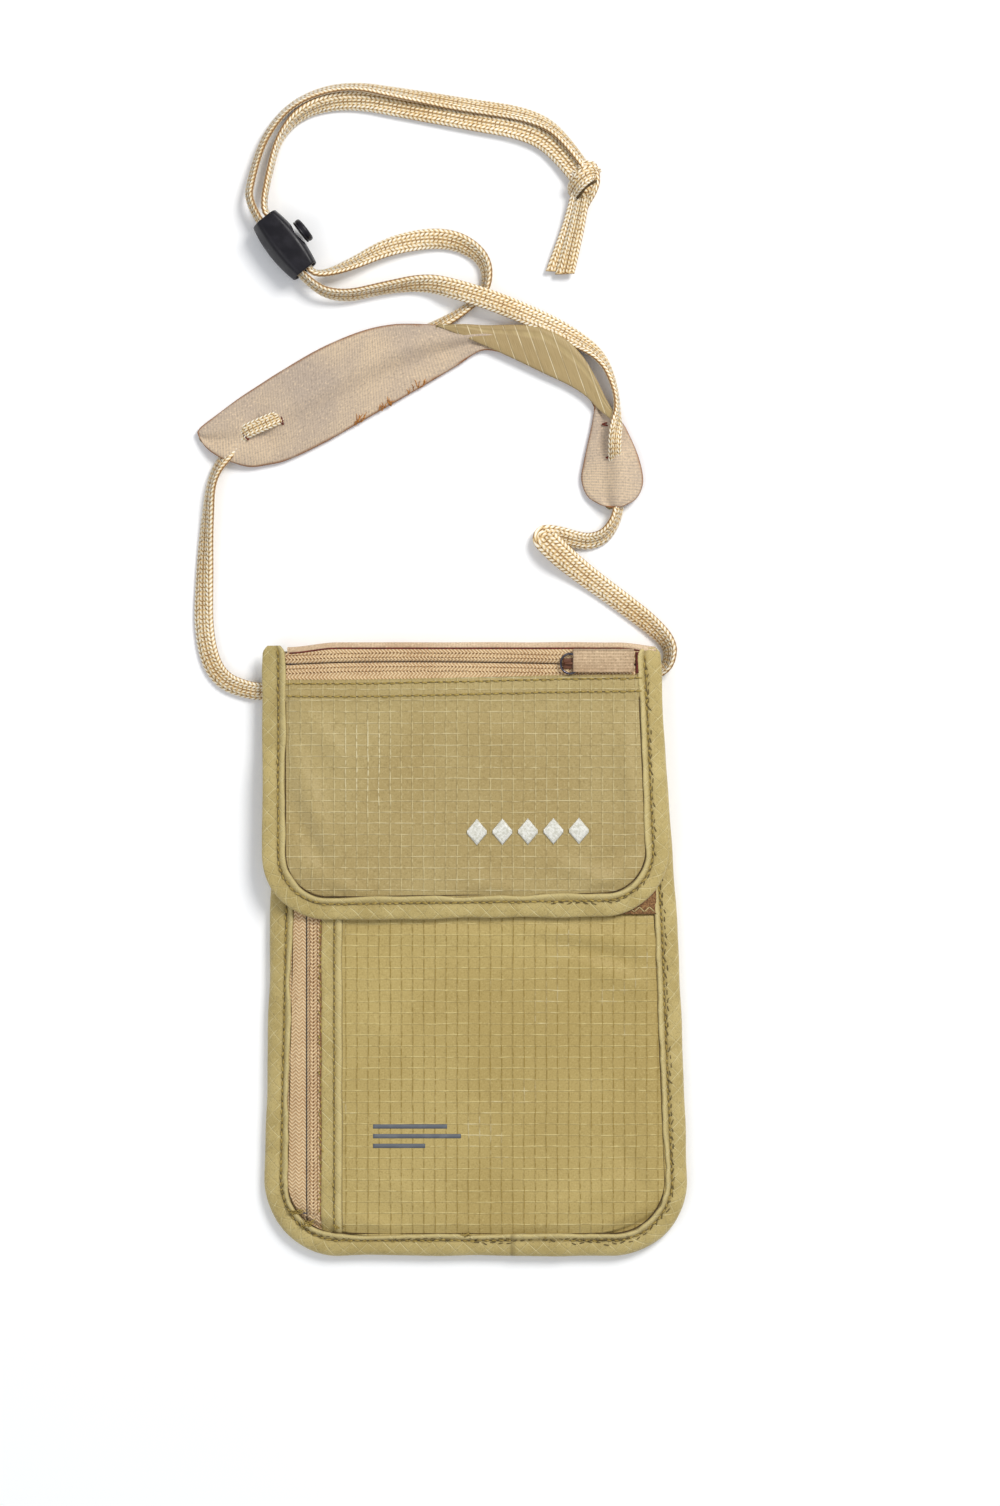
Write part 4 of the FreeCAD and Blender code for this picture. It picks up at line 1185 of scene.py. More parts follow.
# Tufts of stray threads on the binding: x, y, how many and how long.
TUFTS = [
    (-58.0, -84.0, 9, 1.6),
    (-53.0, -87.6, 9, 1.6),
    (-44.0, -88.6, 10, 1.0),
    (-3.0, -91.2, 9, 1.0),
    (22.0, -91.4, 5, 0.9),
]
picks = np.random.default_rng(113)
frayed = []
for cx, cy, count, reach in TUFTS:
    for _ in range(count):
        loose = picks.normal(0, 0.5 * reach, (4, 3)) * [1, 0.7, 0.15]
        line = np.array([cx, cy, 6.25]) + loose
        line = line + np.linspace(0, reach, 4)[:, None] * [picks.normal(0, 1), 0.5, 0]
        frayed.append(tube(line, [0.16, 0.16, 0.14, 0.08], 5))
stitches("stray_threads", frayed, GOLD, "pouch", BOUND)

# ---------------------------------------------------------------- the pouch's layers

BODY_TOP = 95.0
MOUTH_Y = 62.0
SEAM_IN = 4.6  # how far in from its edge each panel is sewn
INNER = inset(BODY, SEAM_IN)
LOW = INNER[:, 1].min() + 0.05


def flat_at(height, wave, seed):
    """A nearly flat surface at a height."""

    def surface(x, y):
        return height + wave * ripple(x, y, 28, seed)

    return surface


back = field(INNER, BODY_TOP, LOW, flat_at(0.62, 0.05, 51), 2.0)
back_sheet = panel("back_sheet", back, 0.45, SKIN, "pouch", "skin_fabric")
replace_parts(back_sheet, "back_panel")
liner = field(INNER, BODY_TOP - 2, LOW, flat_at(0.86, 0.04, 52), 3.0)
liner_back = panel("liner_back", liner, 0.12, FOIL, "pouch", "liner_foil")
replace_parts(liner_back, "rfid_liner_back")


def middle_z(x, y):
    return front_z(x, y) - 1.55


middle = field(INNER, MOUTH_Y, LOW, middle_z, 2.4)
middle_sheet = panel("middle_sheet", middle, 0.3, SKIN, "pouch", "skin_fabric")
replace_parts(middle_sheet, "middle_panel")
liner = field(INNER, MOUTH_Y - 0.5, LOW, lambda x, y: middle_z(x, y) + 0.14, 3.0)
liner_front = panel("liner_front", liner, 0.1, FOIL, "pouch", "liner_foil")
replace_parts(liner_front, "rfid_liner_front")

front = field(INNER, 11.4, LOW, front_soft, 1.2, left=-43.6)
front_sheet = panel("front_sheet", front, 0.35, FRONT, "pouch", "ripstop")
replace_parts(front_sheet, "front_panel")

# The placket beside the side zip, with a rounded lip over the panel's edge.
# Its section: x, height over the front, the painted highlight on the lip, and the painted shade
# in the grooves.
PLACKET = [
    (-49.2, -0.15, 0, 0.6),
    (-48.9, 0.28, 0, 0),
    (-48.2, 0.36, 0, 0),
    (-46.8, 0.32, 0, 0),
    (-45.6, 0.26, 0, 0.1),
    (-45.0, 0.16, 0, 0.5),
    (-44.4, 0.26, 0, 0.1),
    (-43.9, 0.5, 0.6, 0),
    (-43.3, 0.62, 1, 0),
    (-42.8, 0.55, 1, 0),
    (-42.45, 0.25, 0.2, 0.5),
    (-42.1, -0.1, 0, 1),
    (-42.3, -0.3, 0, 1),
    (-43.5, -0.35, 0, 0),
    (-47.0, -0.35, 0, 0),
]
placket_section = np.array(PLACKET)
y = spread(60, LOW + 1.2, 1.0)
drift = ripple(y, 0 * y, 22, 61)
x = placket_section[:, 0] + 0.15 * drift[:, None]
y = y[:, None] + 0 * x
rings = xyz(x, y, front_z(x, y) + placket_section[:, 1])
shades = {
    "lip": np.broadcast_to(placket_section[:, 2], rings.shape[:2]),
    "groove": np.broadcast_to(placket_section[:, 3], rings.shape[:2]),
}
placket = make(
    "placket", *loft(rings), BINDING, "pouch", "ripstop", rings[..., [1, 0, 2]], shades
)
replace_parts(placket, "zip_placket")

# ---------------------------------------------------------------- zips


def side_tape_z(x, y):
    return front_z(x, y) + 0.05 * np.sin(y / 3.1)


for side, x0, x1 in (("left", -60.2, -53.95), ("right", -53.6, -48.4)):
    points, faces = layer(field(INNER, 60, -89.8, side_tape_z, 1.0, x0, x1), 0.32)
    cloth = points[:, [1, 0, 2]]
    piece = make(f"side_tape_{side}", points, faces, TAPE, "pouch", "zip_tape", cloth)
    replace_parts(piece, f"side_zip_tape_{side}")


COIL_PITCH, COIL_WIDTH, COIL_HEIGHT = 1.25, 1.5, 0.9


def coil(name, centre, across, body, node):
    """A zip coil: one filament wound along a line."""
    centre = resample(centre, COIL_PITCH / 10)
    run = np.arange(len(centre)) * COIL_PITCH / 10
    angle = run * 2 * math.pi / COIL_PITCH
    across = np.array(across, float)
    line = centre + np.cos(angle)[:, None] * across * COIL_WIDTH / 2
    line[:, 2] += np.sin(angle) * COIL_HEIGHT / 2
    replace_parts(make(name, *tube(line, 0.22, 5), COIL, body, "zip_coil"), node)


y = spread(59, -83, 2)
for side, x in (("left", -54.98), ("right", -52.6)):
    line = on(front_z, x, y, -1.0)
    coil(f"side_coil_{side}", line, (1, 0, 0), "pouch", f"side_zip_coil_{side}")


def flap_slit(x):
    """The flap zip's slit, which waves a little."""
    return 91.15 + 0.55 * np.sin((x + 62) / 27) - 0.35 * smooth((-40 - x) / 22)


def fold_dip(x):
    """How far the fold's line comes down towards its two ends."""
    return 1.6 * smooth((-44 - x) / 16) + 1.3 * smooth((x - 45) / 13)


def flap_tape_z(x, y):
    return 9.98 - droop(x, y) + 0.10 * np.sin(x / 7 + 1) * smooth((94 - y) / 3)


def flap_tape(name, below, node):
    """One of the two tapes, from the slit to its far edge."""
    x = spread(-61.6, 52.6, 1.0)
    rows = []
    for t in np.linspace(0, 1, 7):
        gap = flap_slit(x) + (-0.2 if below else 0.2)
        far = np.full_like(x, 85.0) if below else 96.0 - fold_dip(x)
        y = gap * (1 - t) + far * t
        curl = -0.22 * np.exp(-((t / 0.08) ** 2))
        rows.append(xyz(x, y, flap_tape_z(x, y) + curl))
    tape = layer(rows if below else rows[::-1], 0.3)
    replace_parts(make(name, *tape, TAPE, "flap", "zip_tape"), node)


flap_tape("flap_tape_lower", True, "flap_zip_tape_lower")
flap_tape("flap_tape_upper", False, "flap_zip_tape_upper")
x = spread(-60, 51, 2)
for label, shift in (("lower", -0.95), ("upper", 0.95)):
    line = on(flap_tape_z, x, flap_slit(x) + shift, -0.78)
    coil(f"flap_coil_{label}", line, (0, 1, 0), "flap", f"flap_zip_coil_{label}")

# Rows of thread that hold the coils to the tapes.
rows = []
for shift, seed in ((-1.5, 71), (1.5, 72), (-2.9, 73), (2.8, 74)):
    y = flap_slit(x) + shift
    rows += stitch_row(on(flap_tape_z, x, y, 0.02), 1.1, 0.6, 0.15, seed, 0.05)
stitches("coil_stitches_flap", rows, BROWN, "flap", "zip_tape")
rows = []
y = spread(59, -84, 2)
for xx, seed in ((-52.7, 76), (-51.5, 77), (-50.3, 78)):
    rows += stitch_row(on(side_tape_z, xx, y, 0.02), 1.15, 0.6, 0.19, seed, 0.06)
stitches("coil_stitches_side", rows, BROWN, "pouch", "zip_tape")

# ---------------------------------------------------------------- the flap's layers

FLAP_INNER = inset(FLAP, SEAM_IN)
flap_low = FLAP_INNER[:, 1].min() + 0.05


def lining_z(x, y):
    return 8.85 - droop(x, y) + 0.06 * ripple(x, y, 26, 81)


lining = field(FLAP_INNER, 94.8, flap_low, lining_z, 2.0)
flap_lining = panel("flap_lining_sheet", lining, 0.3, SKIN, "flap", "skin_fabric")
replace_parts(flap_lining, "flap_lining")


def hem_y(x):
    """The folded upper edge of the flap's panel, which slopes a little."""
    return 86.0 + 1.7 * smooth((x + 50) / 105)


HEM_Y = 86.6


def flap_panel_grid():
    """The flap panel's grid of points, with its hem as a raised double layer."""
    rows = []
    t = np.linspace(0, 1, 76)
    for s in np.sin(np.linspace(0, 1, 76) * math.pi / 2):
        level = HEM_Y + (flap_low - HEM_Y) * s
        x0, x1 = sides_at(FLAP_INNER, np.array([level]))
        x = x0[0] + (x1[0] - x0[0]) * t
        y = level + (hem_y(x) - HEM_Y) * (1 - s) ** 2
        rows.append(xyz(x, y, 0.0))
    grid = np.array(rows)
    x, y = grid[..., 0], grid[..., 1]
    hem = hem_y(x) - y
    rise = 0.42 * smooth((7.0 - hem) / 1.2) * smooth(hem / 0.7 + 0.35)
    grid[..., 2] = flap_soft(x, y) + rise
    return grid


flap_grid = flap_panel_grid()
flap_sheet = panel("flap_sheet", flap_grid, 0.4, RIPSTOP, "flap", "ripstop")
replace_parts(flap_sheet, "flap_panel")


def hem_z(x, y):
    return flap_soft(x, y) + 0.42


rows, dark = [], []
x = spread(-59, 52, 2)
for drop, seed in ((1.3, 91), (5.4, 92)):
    row = on(hem_z, x, hem_y(x) - drop, 0.06)
    rows += stitch_row(row, 2.5, 2.0, 0.28, seed, 0.08)
    dark += shade_line(row, 0.24)
stitches("hem_stitches", rows, GOLD, "flap", "ripstop")
# dark holds painted shade lines between the hem stitches.
stitches("hem_hole_shade", dark, OLIVE, "flap", "ripstop")
row = on(front_z, -45.0, spread(58, -88, 2), 0.26)
stitches("placket_stitches", stitch_row(row, 2.2, 1.35, 0.23, 93), GOLD, "pouch", "ripstop")
# Painted shade between the placket's stitches.
stitches("placket_hole_shade", shade_line(row, 0.26), OLIVE, "pouch", "ripstop")
row = on(front_z, -49.3, spread(58, -88, 2), 0.02)
row[:, 2] += 0.2 * smooth((24 - row[:, 1]) / 6) * smooth((row[:, 1] + 74) / 6)
rows = stitch_row(row, 1.9, 1.3, 0.23, 94, 0.25)
stitches("placket_edge_stitches", rows, GOLD, "pouch", "ripstop")
# Painted shade between the placket's edge stitches.
stitches("placket_edge_hole_shade", shade_line(row, 0.28), BROWN, "pouch", "ripstop")

# The hook and loop strips.


def nap(x, y):
    """The pile's uneven height."""
    return 0.22 * np.abs(np.sin(x * 2.6 + np.sin(y))) * np.abs(np.sin(y * 2.4))


def strip(name, x0, x1, y0, y1, surface, material, body, node):
    top = patch(x0, x1, y0, y1, lambda x, y: surface(x, y) + nap(x, y), 0.6)
    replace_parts(panel(name, top, 0.7, material, body, "loop_pile"), node)


def loop_z(x, y):
    return front_z(x, y) + 0.75


def hook_z(x, y):
    return lining_z(x, y) - 0.35


strip("loop_pile", -40, 57.6, 11.4, 22.4, loop_z, LOOP, "pouch", "loop_strip")
strip("hook_pile", -38, 46, 17.9, 27.9, hook_z, HOOK, "flap", "hook_strip")
rows = []
zig = spread(-39, 57, 1.6)
for y, reach in ((12.2, 1.5), (21.6, -1.5)):
    line = on(loop_z, zig, y + reach * (np.arange(len(zig)) % 2), 0.2)
    rows += [thread_points((a, b), 0.2, 0.05) for a, b in zip(line, line[1:])]
stitches("loop_stitches", rows, PALE, "pouch", "loop_pile")

# ---------------------------------------------------------------- the folded top

FOLD_SECTION = [
    (93.2, 0.72),
    (94.6, 0.35),
    (95.8, 0.3),
    (96.8, 0.6),
    (97.5, 1.4),
    (97.75, 2.6),
    (97.85, 4.0),
    (97.95, 5.6),
    (98.0, 7.0),
    (97.95, 8.2),
    (97.75, 9.1),
    (97.3, 9.75),
    (96.7, 10.05),
    (96.2, 10.0),
    (95.9, 9.7),
    (95.6, 9.45),
    (94.9, 9.45),
]
x = spread(-59.8, 57.4, 1.0)
rows = []
for k, (yy, zz) in enumerate(FOLD_SECTION):
    upper = smooth((zz - 4) / 5)
    y = yy + 0.10 * ripple(x, 0 * x + k * 0.4, 22, 97) * upper
    y = y - fold_dip(x)
    rows.append(xyz(x, y, zz - upper * droop(x, 80.0)))
top = np.array(rows)
normal = grid_normal(top)
inner = top + normal * 0.45 * (-1 if normal[8, 50, 1] > 0 else 1)
run = run_along(np.array(FOLD_SECTION))
cloth = np.concatenate([xyz(x[None], run[:, None], 0.0).reshape(-1, 3)] * 2)
parts = closed_sheet(top, inner, rim=(1, 3, 2, 0))
fold_cloth = make("fold_cloth", *parts, SKIN, None, "skin_fabric", cloth)
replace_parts(fold_cloth, "back_roll", "flap_fold")
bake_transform(fold_cloth)

# A painted shadow line along the seam between the fold and the zip tape.
x = spread(-59, 53, 1.5)
seam_shade_line = xyz(x, 95.98 - fold_dip(x), 9.86 - droop(x, 80.0))
make("seam_shade_line", *tube(seam_shade_line, 0.32), SEAM_SHADE, "flap", "zip_tape")
# A painted shadow in the gap past the end of the ribbon tab.
y = spread(88.1, 94.8, 0.7)
make("tab_gap_shade", *tube(xyz(51.5, y, 9.9 - droop(51.5, y)), 0.75), SEAM_SHADE, "flap", "zip_tape")

# ---------------------------------------------------------------- sliders and pulls

FLAP_ZIP_X, FLAP_ZIP_Y = 30.0, 91.15
SIDE_ZIP_X = -53.8
SIDE_PULL_Z = 7.6


def block_rings(centre, sizes):
    """Rings of a block with rounded edges, longest along its first axis."""
    cx, cy, cz = centre
    lx, ly, lz = (s / 2 for s in sizes)
    turn = np.linspace(0, 2 * math.pi, 24, endpoint=False)
    rings = []
    for t in np.linspace(-1, 1, 15):
        end = max(0.0, (abs(t) - 0.8) / 0.2)
        shrink = 0.25 + 0.75 * math.sqrt(max(0.0, 1 - end**2))
        a = np.sign(np.cos(turn)) * np.abs(np.cos(turn)) ** 0.45 * ly * shrink
        b = np.sign(np.sin(turn)) * np.abs(np.sin(turn)) ** 0.45 * lz * shrink
        rings.append(xyz(cx + t * lx, cy + a, cz + b))
    return rings


def slider(name, body, centre, along, node, under=True):
    """A small slider: two plates, a web and a bridge, with its long side along X or Y."""
    parts = [
        loft(block_rings((0, 0, 0.55), (4.6, 3.4, 0.7))),
        loft(block_rings((-1.2, 0, -0.2), (1.4, 0.4, 1.4))),
    ]
    if under:
        parts.append(loft(block_rings((0, 0, -0.5), (4.6, 3.4, 0.4))))
    t = np.linspace(-1, 1, 15)
    arch = xyz(t * 1.7, 0.0, 0.75 + 0.75 * np.sqrt(1 - (t * 0.98) ** 2))
    parts.append(tube(arch, 0.42, 8, squash=0.7))
    points, faces = join(parts)
    if along == "Y":
        points = points[:, [1, 0, 2]] * [1, -1, 1]
    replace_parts(make(name, points + centre, faces, PAINT, body, "gunmetal"), node)


place = (FLAP_ZIP_X, FLAP_ZIP_Y, 9.5)
slider("slider_flap", "flap_slider", place, "X", "flap_zip_slider")
place = (SIDE_ZIP_X, 50.0, 6.55)
slider("slider_side", "side_slider", place, "Y", "side_zip_slider", under=False)

turn = np.linspace(0, 2 * math.pi, 40, endpoint=False)
ring_x, ring_y = FLAP_ZIP_X + 2.9 * np.cos(turn), 91.1 + 3.15 * np.sin(turn)
ring_line = xyz(ring_x, ring_y, 11.15 + 0.12 * np.cos(2 * turn))
ring_tube = tube(ring_line, 0.36, 10, closed=True)
flap_ring = make("ring_flap", *ring_tube, GUNMETAL, "flap_pull", "gunmetal")
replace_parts(flap_ring, "flap_zip_ring")
ring_line = xyz(SIDE_ZIP_X + 2.0 * np.sin(turn), 45.45 - 2.7 * np.cos(turn), SIDE_PULL_Z)
ring_tube = tube(ring_line, 0.33, closed=True)
side_ring = make("ring_side", *ring_tube, GUNMETAL, "side_pull", "gunmetal")
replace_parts(side_ring, "side_zip_ring")


def ribbon_tab(name, body, start, end, width, z, node, along, thick=0.45, fold=0.62):
    """A ribbon folded round the ring: two layers, open at the far end."""
    t = np.linspace(0, 1, 60)
    length = abs(end - start)
    upper = np.stack([t * length, fold * np.ones_like(t)], axis=1)
    turn = np.linspace(math.pi / 2, 3 * math.pi / 2, 9)[1:-1]
    bend = np.stack([fold * np.cos(turn), fold * np.sin(turn)], axis=1)
    lower = np.stack([t * length, -fold * np.ones_like(t)], axis=1)
    pinch = smooth((lower[:, 0] - 1.0) / 3.5) * (fold - thick * 0.52)
    lower[:, 1] += pinch
    upper[:, 1] -= pinch
    section = np.concatenate([upper[::-1], bend, lower])
    rows = []
    for one in np.linspace(-0.5, 0.5, 9) * width:
        bow = 0.06 * math.cos(one / width * math.pi)
        rows.append(xyz(section[:, 0], one, section[:, 1] + bow))
    top = np.array(rows)
    normal = grid_normal(top)
    inner = top - normal * thick * (1 if normal[4, 5, 2] > 0 else -1)
    points, faces = closed_sheet(top, inner, rim=(0, 1, 3, 2))
    cloth = points.copy()
    if along == "X":
        points = points + [start, z[0], z[1]]
    else:
        points = xyz(z[0] + points[:, 1], start - points[:, 0], z[1] + points[:, 2])
    piece = make(name, points, faces, TAB, body, "pull_ribbon", cloth)
    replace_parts(piece, node)
    return piece


flap_tab = ribbon_tab(
    "tab_flap", "flap_pull", 31.6, 50.4, 7.3, (92.1, 11.2), "flap_zip_tab", "X"
)
place = (SIDE_ZIP_X, SIDE_PULL_Z)
side_tab = ribbon_tab(
    "tab_side", "side_pull", 43.3, 29.1, 4.6, place, "side_zip_tab", "Y", 0.3, 0.45
)


def staple(name, size, body, node, height):
    """A small crimped stop at the end of a zip, over the CAD's one."""
    cx, cy = [(a + b) / 2 / MM for a, b in zip(*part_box(node))][:2]
    parts = []
    for shift in (-1, 0, 1):
        parts.append(loft(block_rings((0, shift * size / 3, 0), (size, size / 3.4, 0.8))))
    points, faces = join(parts)
    piece = make(name, points + [cx, cy, height(cx, cy)], faces, GUNMETAL, body, "gunmetal")
    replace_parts(piece, node)


def side_stop_z(x, y):
    return float(front_z(np.array(x), np.array(y))) - 0.85


def flap_stop_z(x, y):
    return 9.2 - float(droop(x, 91.0))


staple("stop_side", 2.6, "pouch", "side_zip_stop", side_stop_z)
staple("stop_flap", 2.4, "flap", "flap_zip_stop", flap_stop_z)

# ---------------------------------------------------------------- the marks

LOZENGES = [(0.5, 37.6), (8.6, 37.7), (16.7, 37.8), (24.8, 37.9), (32.9, 38.0)]
parts = []
for cx, cy in LOZENGES:
    for k in np.linspace(-2.9, 2.9, 17):
        reach = 4.1 * (1 - abs(k) / 3.4)
        if reach < 0.4:
            continue
        y = np.linspace(cy - reach, cy + reach, 9)
        arch = 0.10 + 0.32 * np.sqrt(np.clip(1 - ((y - cy) / reach) ** 2, 0, 1))
        parts.append(tube(on(flap_soft, cx + k, y, arch), 0.24, 6))
stitches("emblem_satin", parts, SATIN, "flap", "ripstop")

BARS = [(-32.6, -9.0, -56.9, -55.5), (-32.6, -4.6, -60.0, -58.6), (-32.6, -16.0, -63.1, -61.7)]
parts = []
for x0, x1, y0, y1 in BARS:
    top = patch(x0, x1, y0, y1, lambda x, y: front_soft(x, y) + 0.05, 0.7)
    parts.append(layer(top, 0.12))
stitches("print_bars", parts, PRINT, "pouch", "ripstop")

# ---------------------------------------------------------------- the neck pad

# Stations along the pad: its upper edge and its lower edge.
PAD = [
    (-89.0, 165.4, -88.4, 163.8),
    (-87.3, 167.4, -86.0, 160.2),
    (-82.0, 171.4, -81.2, 156.9),
    (-75.4, 176.3, -73.0, 154.2),
    (-69.0, 180.5, -66.4, 154.8),
    (-62.6, 184.6, -59.4, 156.6),
    (-49.8, 192.0, -47.4, 162.4),
    (-37.0, 197.4, -35.4, 169.3),
    (-27.4, 199.6, -24.2, 175.7),
    (-19.0, 199.8, -13.4, 182.0),
    (-10.4, 199.3, -5.4, 186.8),
    (3.0, 199.0, 2.6, 191.4),
    (17.4, 198.6, 12.6, 189.2),
    (26.8, 194.8, 22.2, 184.8),
    (33.4, 189.0, 30.2, 180.8),
    (38.0, 181.6, 35.4, 177.0),
    (41.4, 175.0, 37.8, 173.8),
    (46.5, 169.0, 37.4, 169.2),
    (48.9, 165.0, 36.4, 164.2),
    (52.3, 156.8, 34.6, 156.0),
    (53.6, 149.4, 33.8, 150.2),
    (51.6, 144.2, 35.6, 145.0),
    (47.8, 141.7, 39.4, 142.2),
    (44.8, 141.0, 43.0, 141.0),
]


def curve_through(values, per):
    """A smooth line through rows of numbers."""
    values = np.asarray(values, float)
    before, after = values[:1] * 2 - values[1:2], values[-1:] * 2 - values[-2:-1]
    padded = np.concatenate([before, values, after])
    made = []
    for i in range(len(values) - 1):
        a, b, c, d = padded[i : i + 4]
        square, cube = 2 * a - 5 * b + 4 * c - d, 3 * b - a - 3 * c + d
        for t in np.arange(per) / per:
            made.append(0.5 * (2 * b + (c - a) * t + square * t**2 + cube * t**3))
    made.append(values[-1])
    return np.array(made)


def between(upper, lower, t):
    """A grid of points from one line to another."""
    return upper[:, None] * (1 - t)[None, :, None] + lower[:, None] * t[None, :, None]


# The cords' runs under the pad.
UNDER = [
    [(-80, 158), (-74, 163)],
    [(-62, 169.5), (-48, 177.5), (-32, 188.5), (-16, 197.5), (-6, 202)],
    [(45.0, 156), (45.4, 149.5), (45.6, 140)],
]


def near_cord(x, y):
    """How far each point is from the cords that run under the pad."""
    best = np.full(np.shape(x), 99.0)
    for run in UNDER:
        for (x0, y0), (x1, y1) in zip(run, run[1:]):
            best = np.minimum(best, to_segment(x, y, x0, y0, x1, y1)[1])
    return best


def pad_under(x, y):
    """Height of the pad's underside: on the table, and over the cords under it."""
    lift = np.exp(-((near_cord(x, y) / 6.5) ** 2))
    return 0.35 + 2.3 * lift + 0.5 * (0.5 + 0.5 * ripple(x, y, 40, 101))


stations = curve_through(PAD, 7)
t = np.linspace(0, 1, 31)
upper, lower = stations[:, :2], stations[:, 2:]
spine = between(upper, lower, t)
PAD_THICK = 1.5
count = np.arange(len(spine))
z = pad_under(spine[..., 0], spine[..., 1]) + PAD_THICK
z = z - 0.45 * (1 - smooth(np.minimum(t, 1 - t) * 14))
inner = smooth(np.minimum(count, len(spine) - 1 - count) / 12)
ridge = 1.1 * np.exp(-(((t - 0.36) / 0.15) ** 2)) - 0.7 * np.exp(-(((t - 0.62) / 0.12) ** 2))
z = z + inner[:, None] * ridge[None]
pad_top = np.concatenate([spine, z[..., None]], axis=-1)
along = run_along(spine[:, 15])
wide = np.linalg.norm(upper - lower, axis=1)
pad_cloth = xyz(along[:, None], (t - 0.5)[None] * wide[:, None], 0.0)
rim_gap = np.minimum(t, 1 - t)[None] * wide[:, None]
tip_gap = np.minimum(along, along[-1] - along)[:, None]
rim_gap = np.minimum(rim_gap, tip_gap)
burn = smooth((0.55 + 0.25 * ripple(along, 0 * along, 9, 107)[:, None] - rim_gap) / 0.5)
more = {"burn": np.concatenate([burn.ravel()] * 2)}
pad_cloth = np.concatenate([pad_cloth.reshape(-1, 3)] * 2)
both = [KNIT, PAD_BACK]
parts = layer(pad_top, PAD_THICK)
pad_piece = make("pad_sheet", *parts, both, "pouch", "pad_knit", pad_cloth, more)
# The upper side and the rim are knit, and the lower side is ripstop.
quads = (pad_top.shape[0] - 1) * (pad_top.shape[1] - 1)
index = [0] * quads + [1] * quads + [0] * (len(pad_piece.data.polygons) - 2 * quads)
pad_piece.data.polygons.foreach_set("material_index", index)
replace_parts(pad_piece, "neck_pad")

# The middle of the pad is folded over lengthways, with its ripstop side up.
FOLD = [
    (-12.6, 199.2, -12.0, 198.9),
    (-4.0, 199.6, -4.2, 195.8),
    (3.0, 199.4, 3.4, 192.6),
    (17.6, 199.2, 12.2, 188.6),
    (27.5, 195.6, 21.8, 184.0),
    (34.2, 189.4, 30.2, 180.0),
    (38.7, 182.0, 35.6, 176.4),
    (42.3, 174.8, 39.4, 172.4),
    (46.8, 168.2, 45.6, 167.4),
]
stations = curve_through(FOLD, 8)
upper, lower = stations[:, :2], stations[:, 2:]
t = np.linspace(0, 1, 17)
spine = between(upper, lower, t)
base = pad_under(spine[..., 0], spine[..., 1]) + PAD_THICK
place = np.arange(len(spine)) / (len(spine) - 1)
lean = np.sin(math.pi * np.clip((place - 0.25) / 0.7, 0, 1))[:, None]
z = base + 0.5 + 0.5 * smooth(t / 0.12)[None] - 0.3 * smooth((t - 0.85) / 0.15)[None]
z = z + 1.5 * lean * (1 - t)[None] ** 1.4
ends = smooth(np.minimum(place, 1 - place) * 7)
z = base + 0.1 + (z - base - 0.1) * (0.35 + 0.65 * ends[:, None])
z = z + 2.4 * np.exp(-((np.hypot(spine[..., 0] - 46.0, spine[..., 1] - 169.8) / 3.6) ** 2))
fold_top = np.concatenate([spine, z[..., None]], axis=-1)
fold_map = xyz(spine[..., 0] * 0.94 + spine[..., 1] * 0.34, t[None] * 2.4 + 0.8, 0.0)
fold_map = np.concatenate([fold_map.reshape(-1, 3)] * 2)
parts = layer(fold_top, 1.2)
pad_fold = make("pad_fold_sheet", *parts, PAD_BACK, "pouch", "ripstop", fold_map)

# Frayed threads along the lower edge, and painted shade at the rims of the four slits.
picks = np.random.default_rng(109)
parts = []
low_edge = curve_through(PAD, 7)[:, 2:]
PAD_TUFTS = [(-37.9, 169.3, 10), (-28.3, 174.6, 10), (-19.2, 179.4, 8)]
for cx, cy, count in PAD_TUFTS:
    for _ in range(count):
        foot = np.array([cx + picks.normal(0, 1.5), cy, 0.0])
        near = int(np.argmin(np.abs(low_edge[: 7 * 12, 0] - foot[0])))
        foot[1] = low_edge[near, 1] + 0.1
        tip = foot + [picks.normal(0.4, 1.0), picks.uniform(0.8, 2.8), 0]
        line = np.linspace(foot, tip, 4)
        line[1:3, :2] += picks.normal(0, 0.3, (2, 2))
        line[:, 2] = pad_under(line[:, 0], line[:, 1]) + PAD_THICK + [-0.5, 0.0, 0.1, 0.05]
        parts.append(tube(line, [0.18, 0.15, 0.12, 0.06], 5))
BURNT = thread_material("burnt_thread", (206, 142, 58), (158, 94, 32))
stitches("pad_frays", parts, BURNT, "pouch", "pad_knit")
parts = []
# Each slit's middle and the heading of the cord that goes through it.
SLITS = [(-73.7, 165.1, 26.3), (-62.6, 170.0, 26.3), (43.3, 167.8, 90), (44.5, 157.0, 90)]
for x, y, heading in SLITS:
    a = math.radians(heading + 90)
    t = np.linspace(-1, 1, 13)
    for push in (-0.55, 0.55):
        bow = push * (1 - t**2)
        px = x + math.cos(a) * t * 2.9 + math.cos(a - math.pi / 2) * bow
        py = y + math.sin(a) * t * 2.9 + math.sin(a - math.pi / 2) * bow
        parts.append(tube(on(pad_under, px, py, PAD_THICK + 0.02), 0.22, 6))
stitches("slit_edge_shade", parts, SEAM_SHADE, "pouch", "pad_knit")

# ---------------------------------------------------------------- the cord lock

LOCK = np.array([-60.7, 224.6, 6.05])
# Along the barrel, towards its button, and up.
AXIS = np.array([-0.617, 0.787, 0.0])
OUT = np.array([0.787, 0.617, 0.0])
UP = np.array([0, 0, 1.0])
LOCK_HALF = 10.1


def ring_of(corners, radius):
    """A closed ring through corners rounded to a radius."""
    corners = np.array(corners, float)
    made = []
    for i, corner in enumerate(corners):
        come = corners[i - 1] - corner
        go = corners[(i + 1) % len(corners)] - corner
        cut = min(radius, 0.45 * np.linalg.norm(come), 0.45 * np.linalg.norm(go))
        first, last = corner + unit(come) * cut, corner + unit(go) * cut
        for t in np.linspace(0, 1, 5):
            made.append(first * (1 - t) ** 2 + 2 * corner * t * (1 - t) + last * t**2)
    return np.array(made)


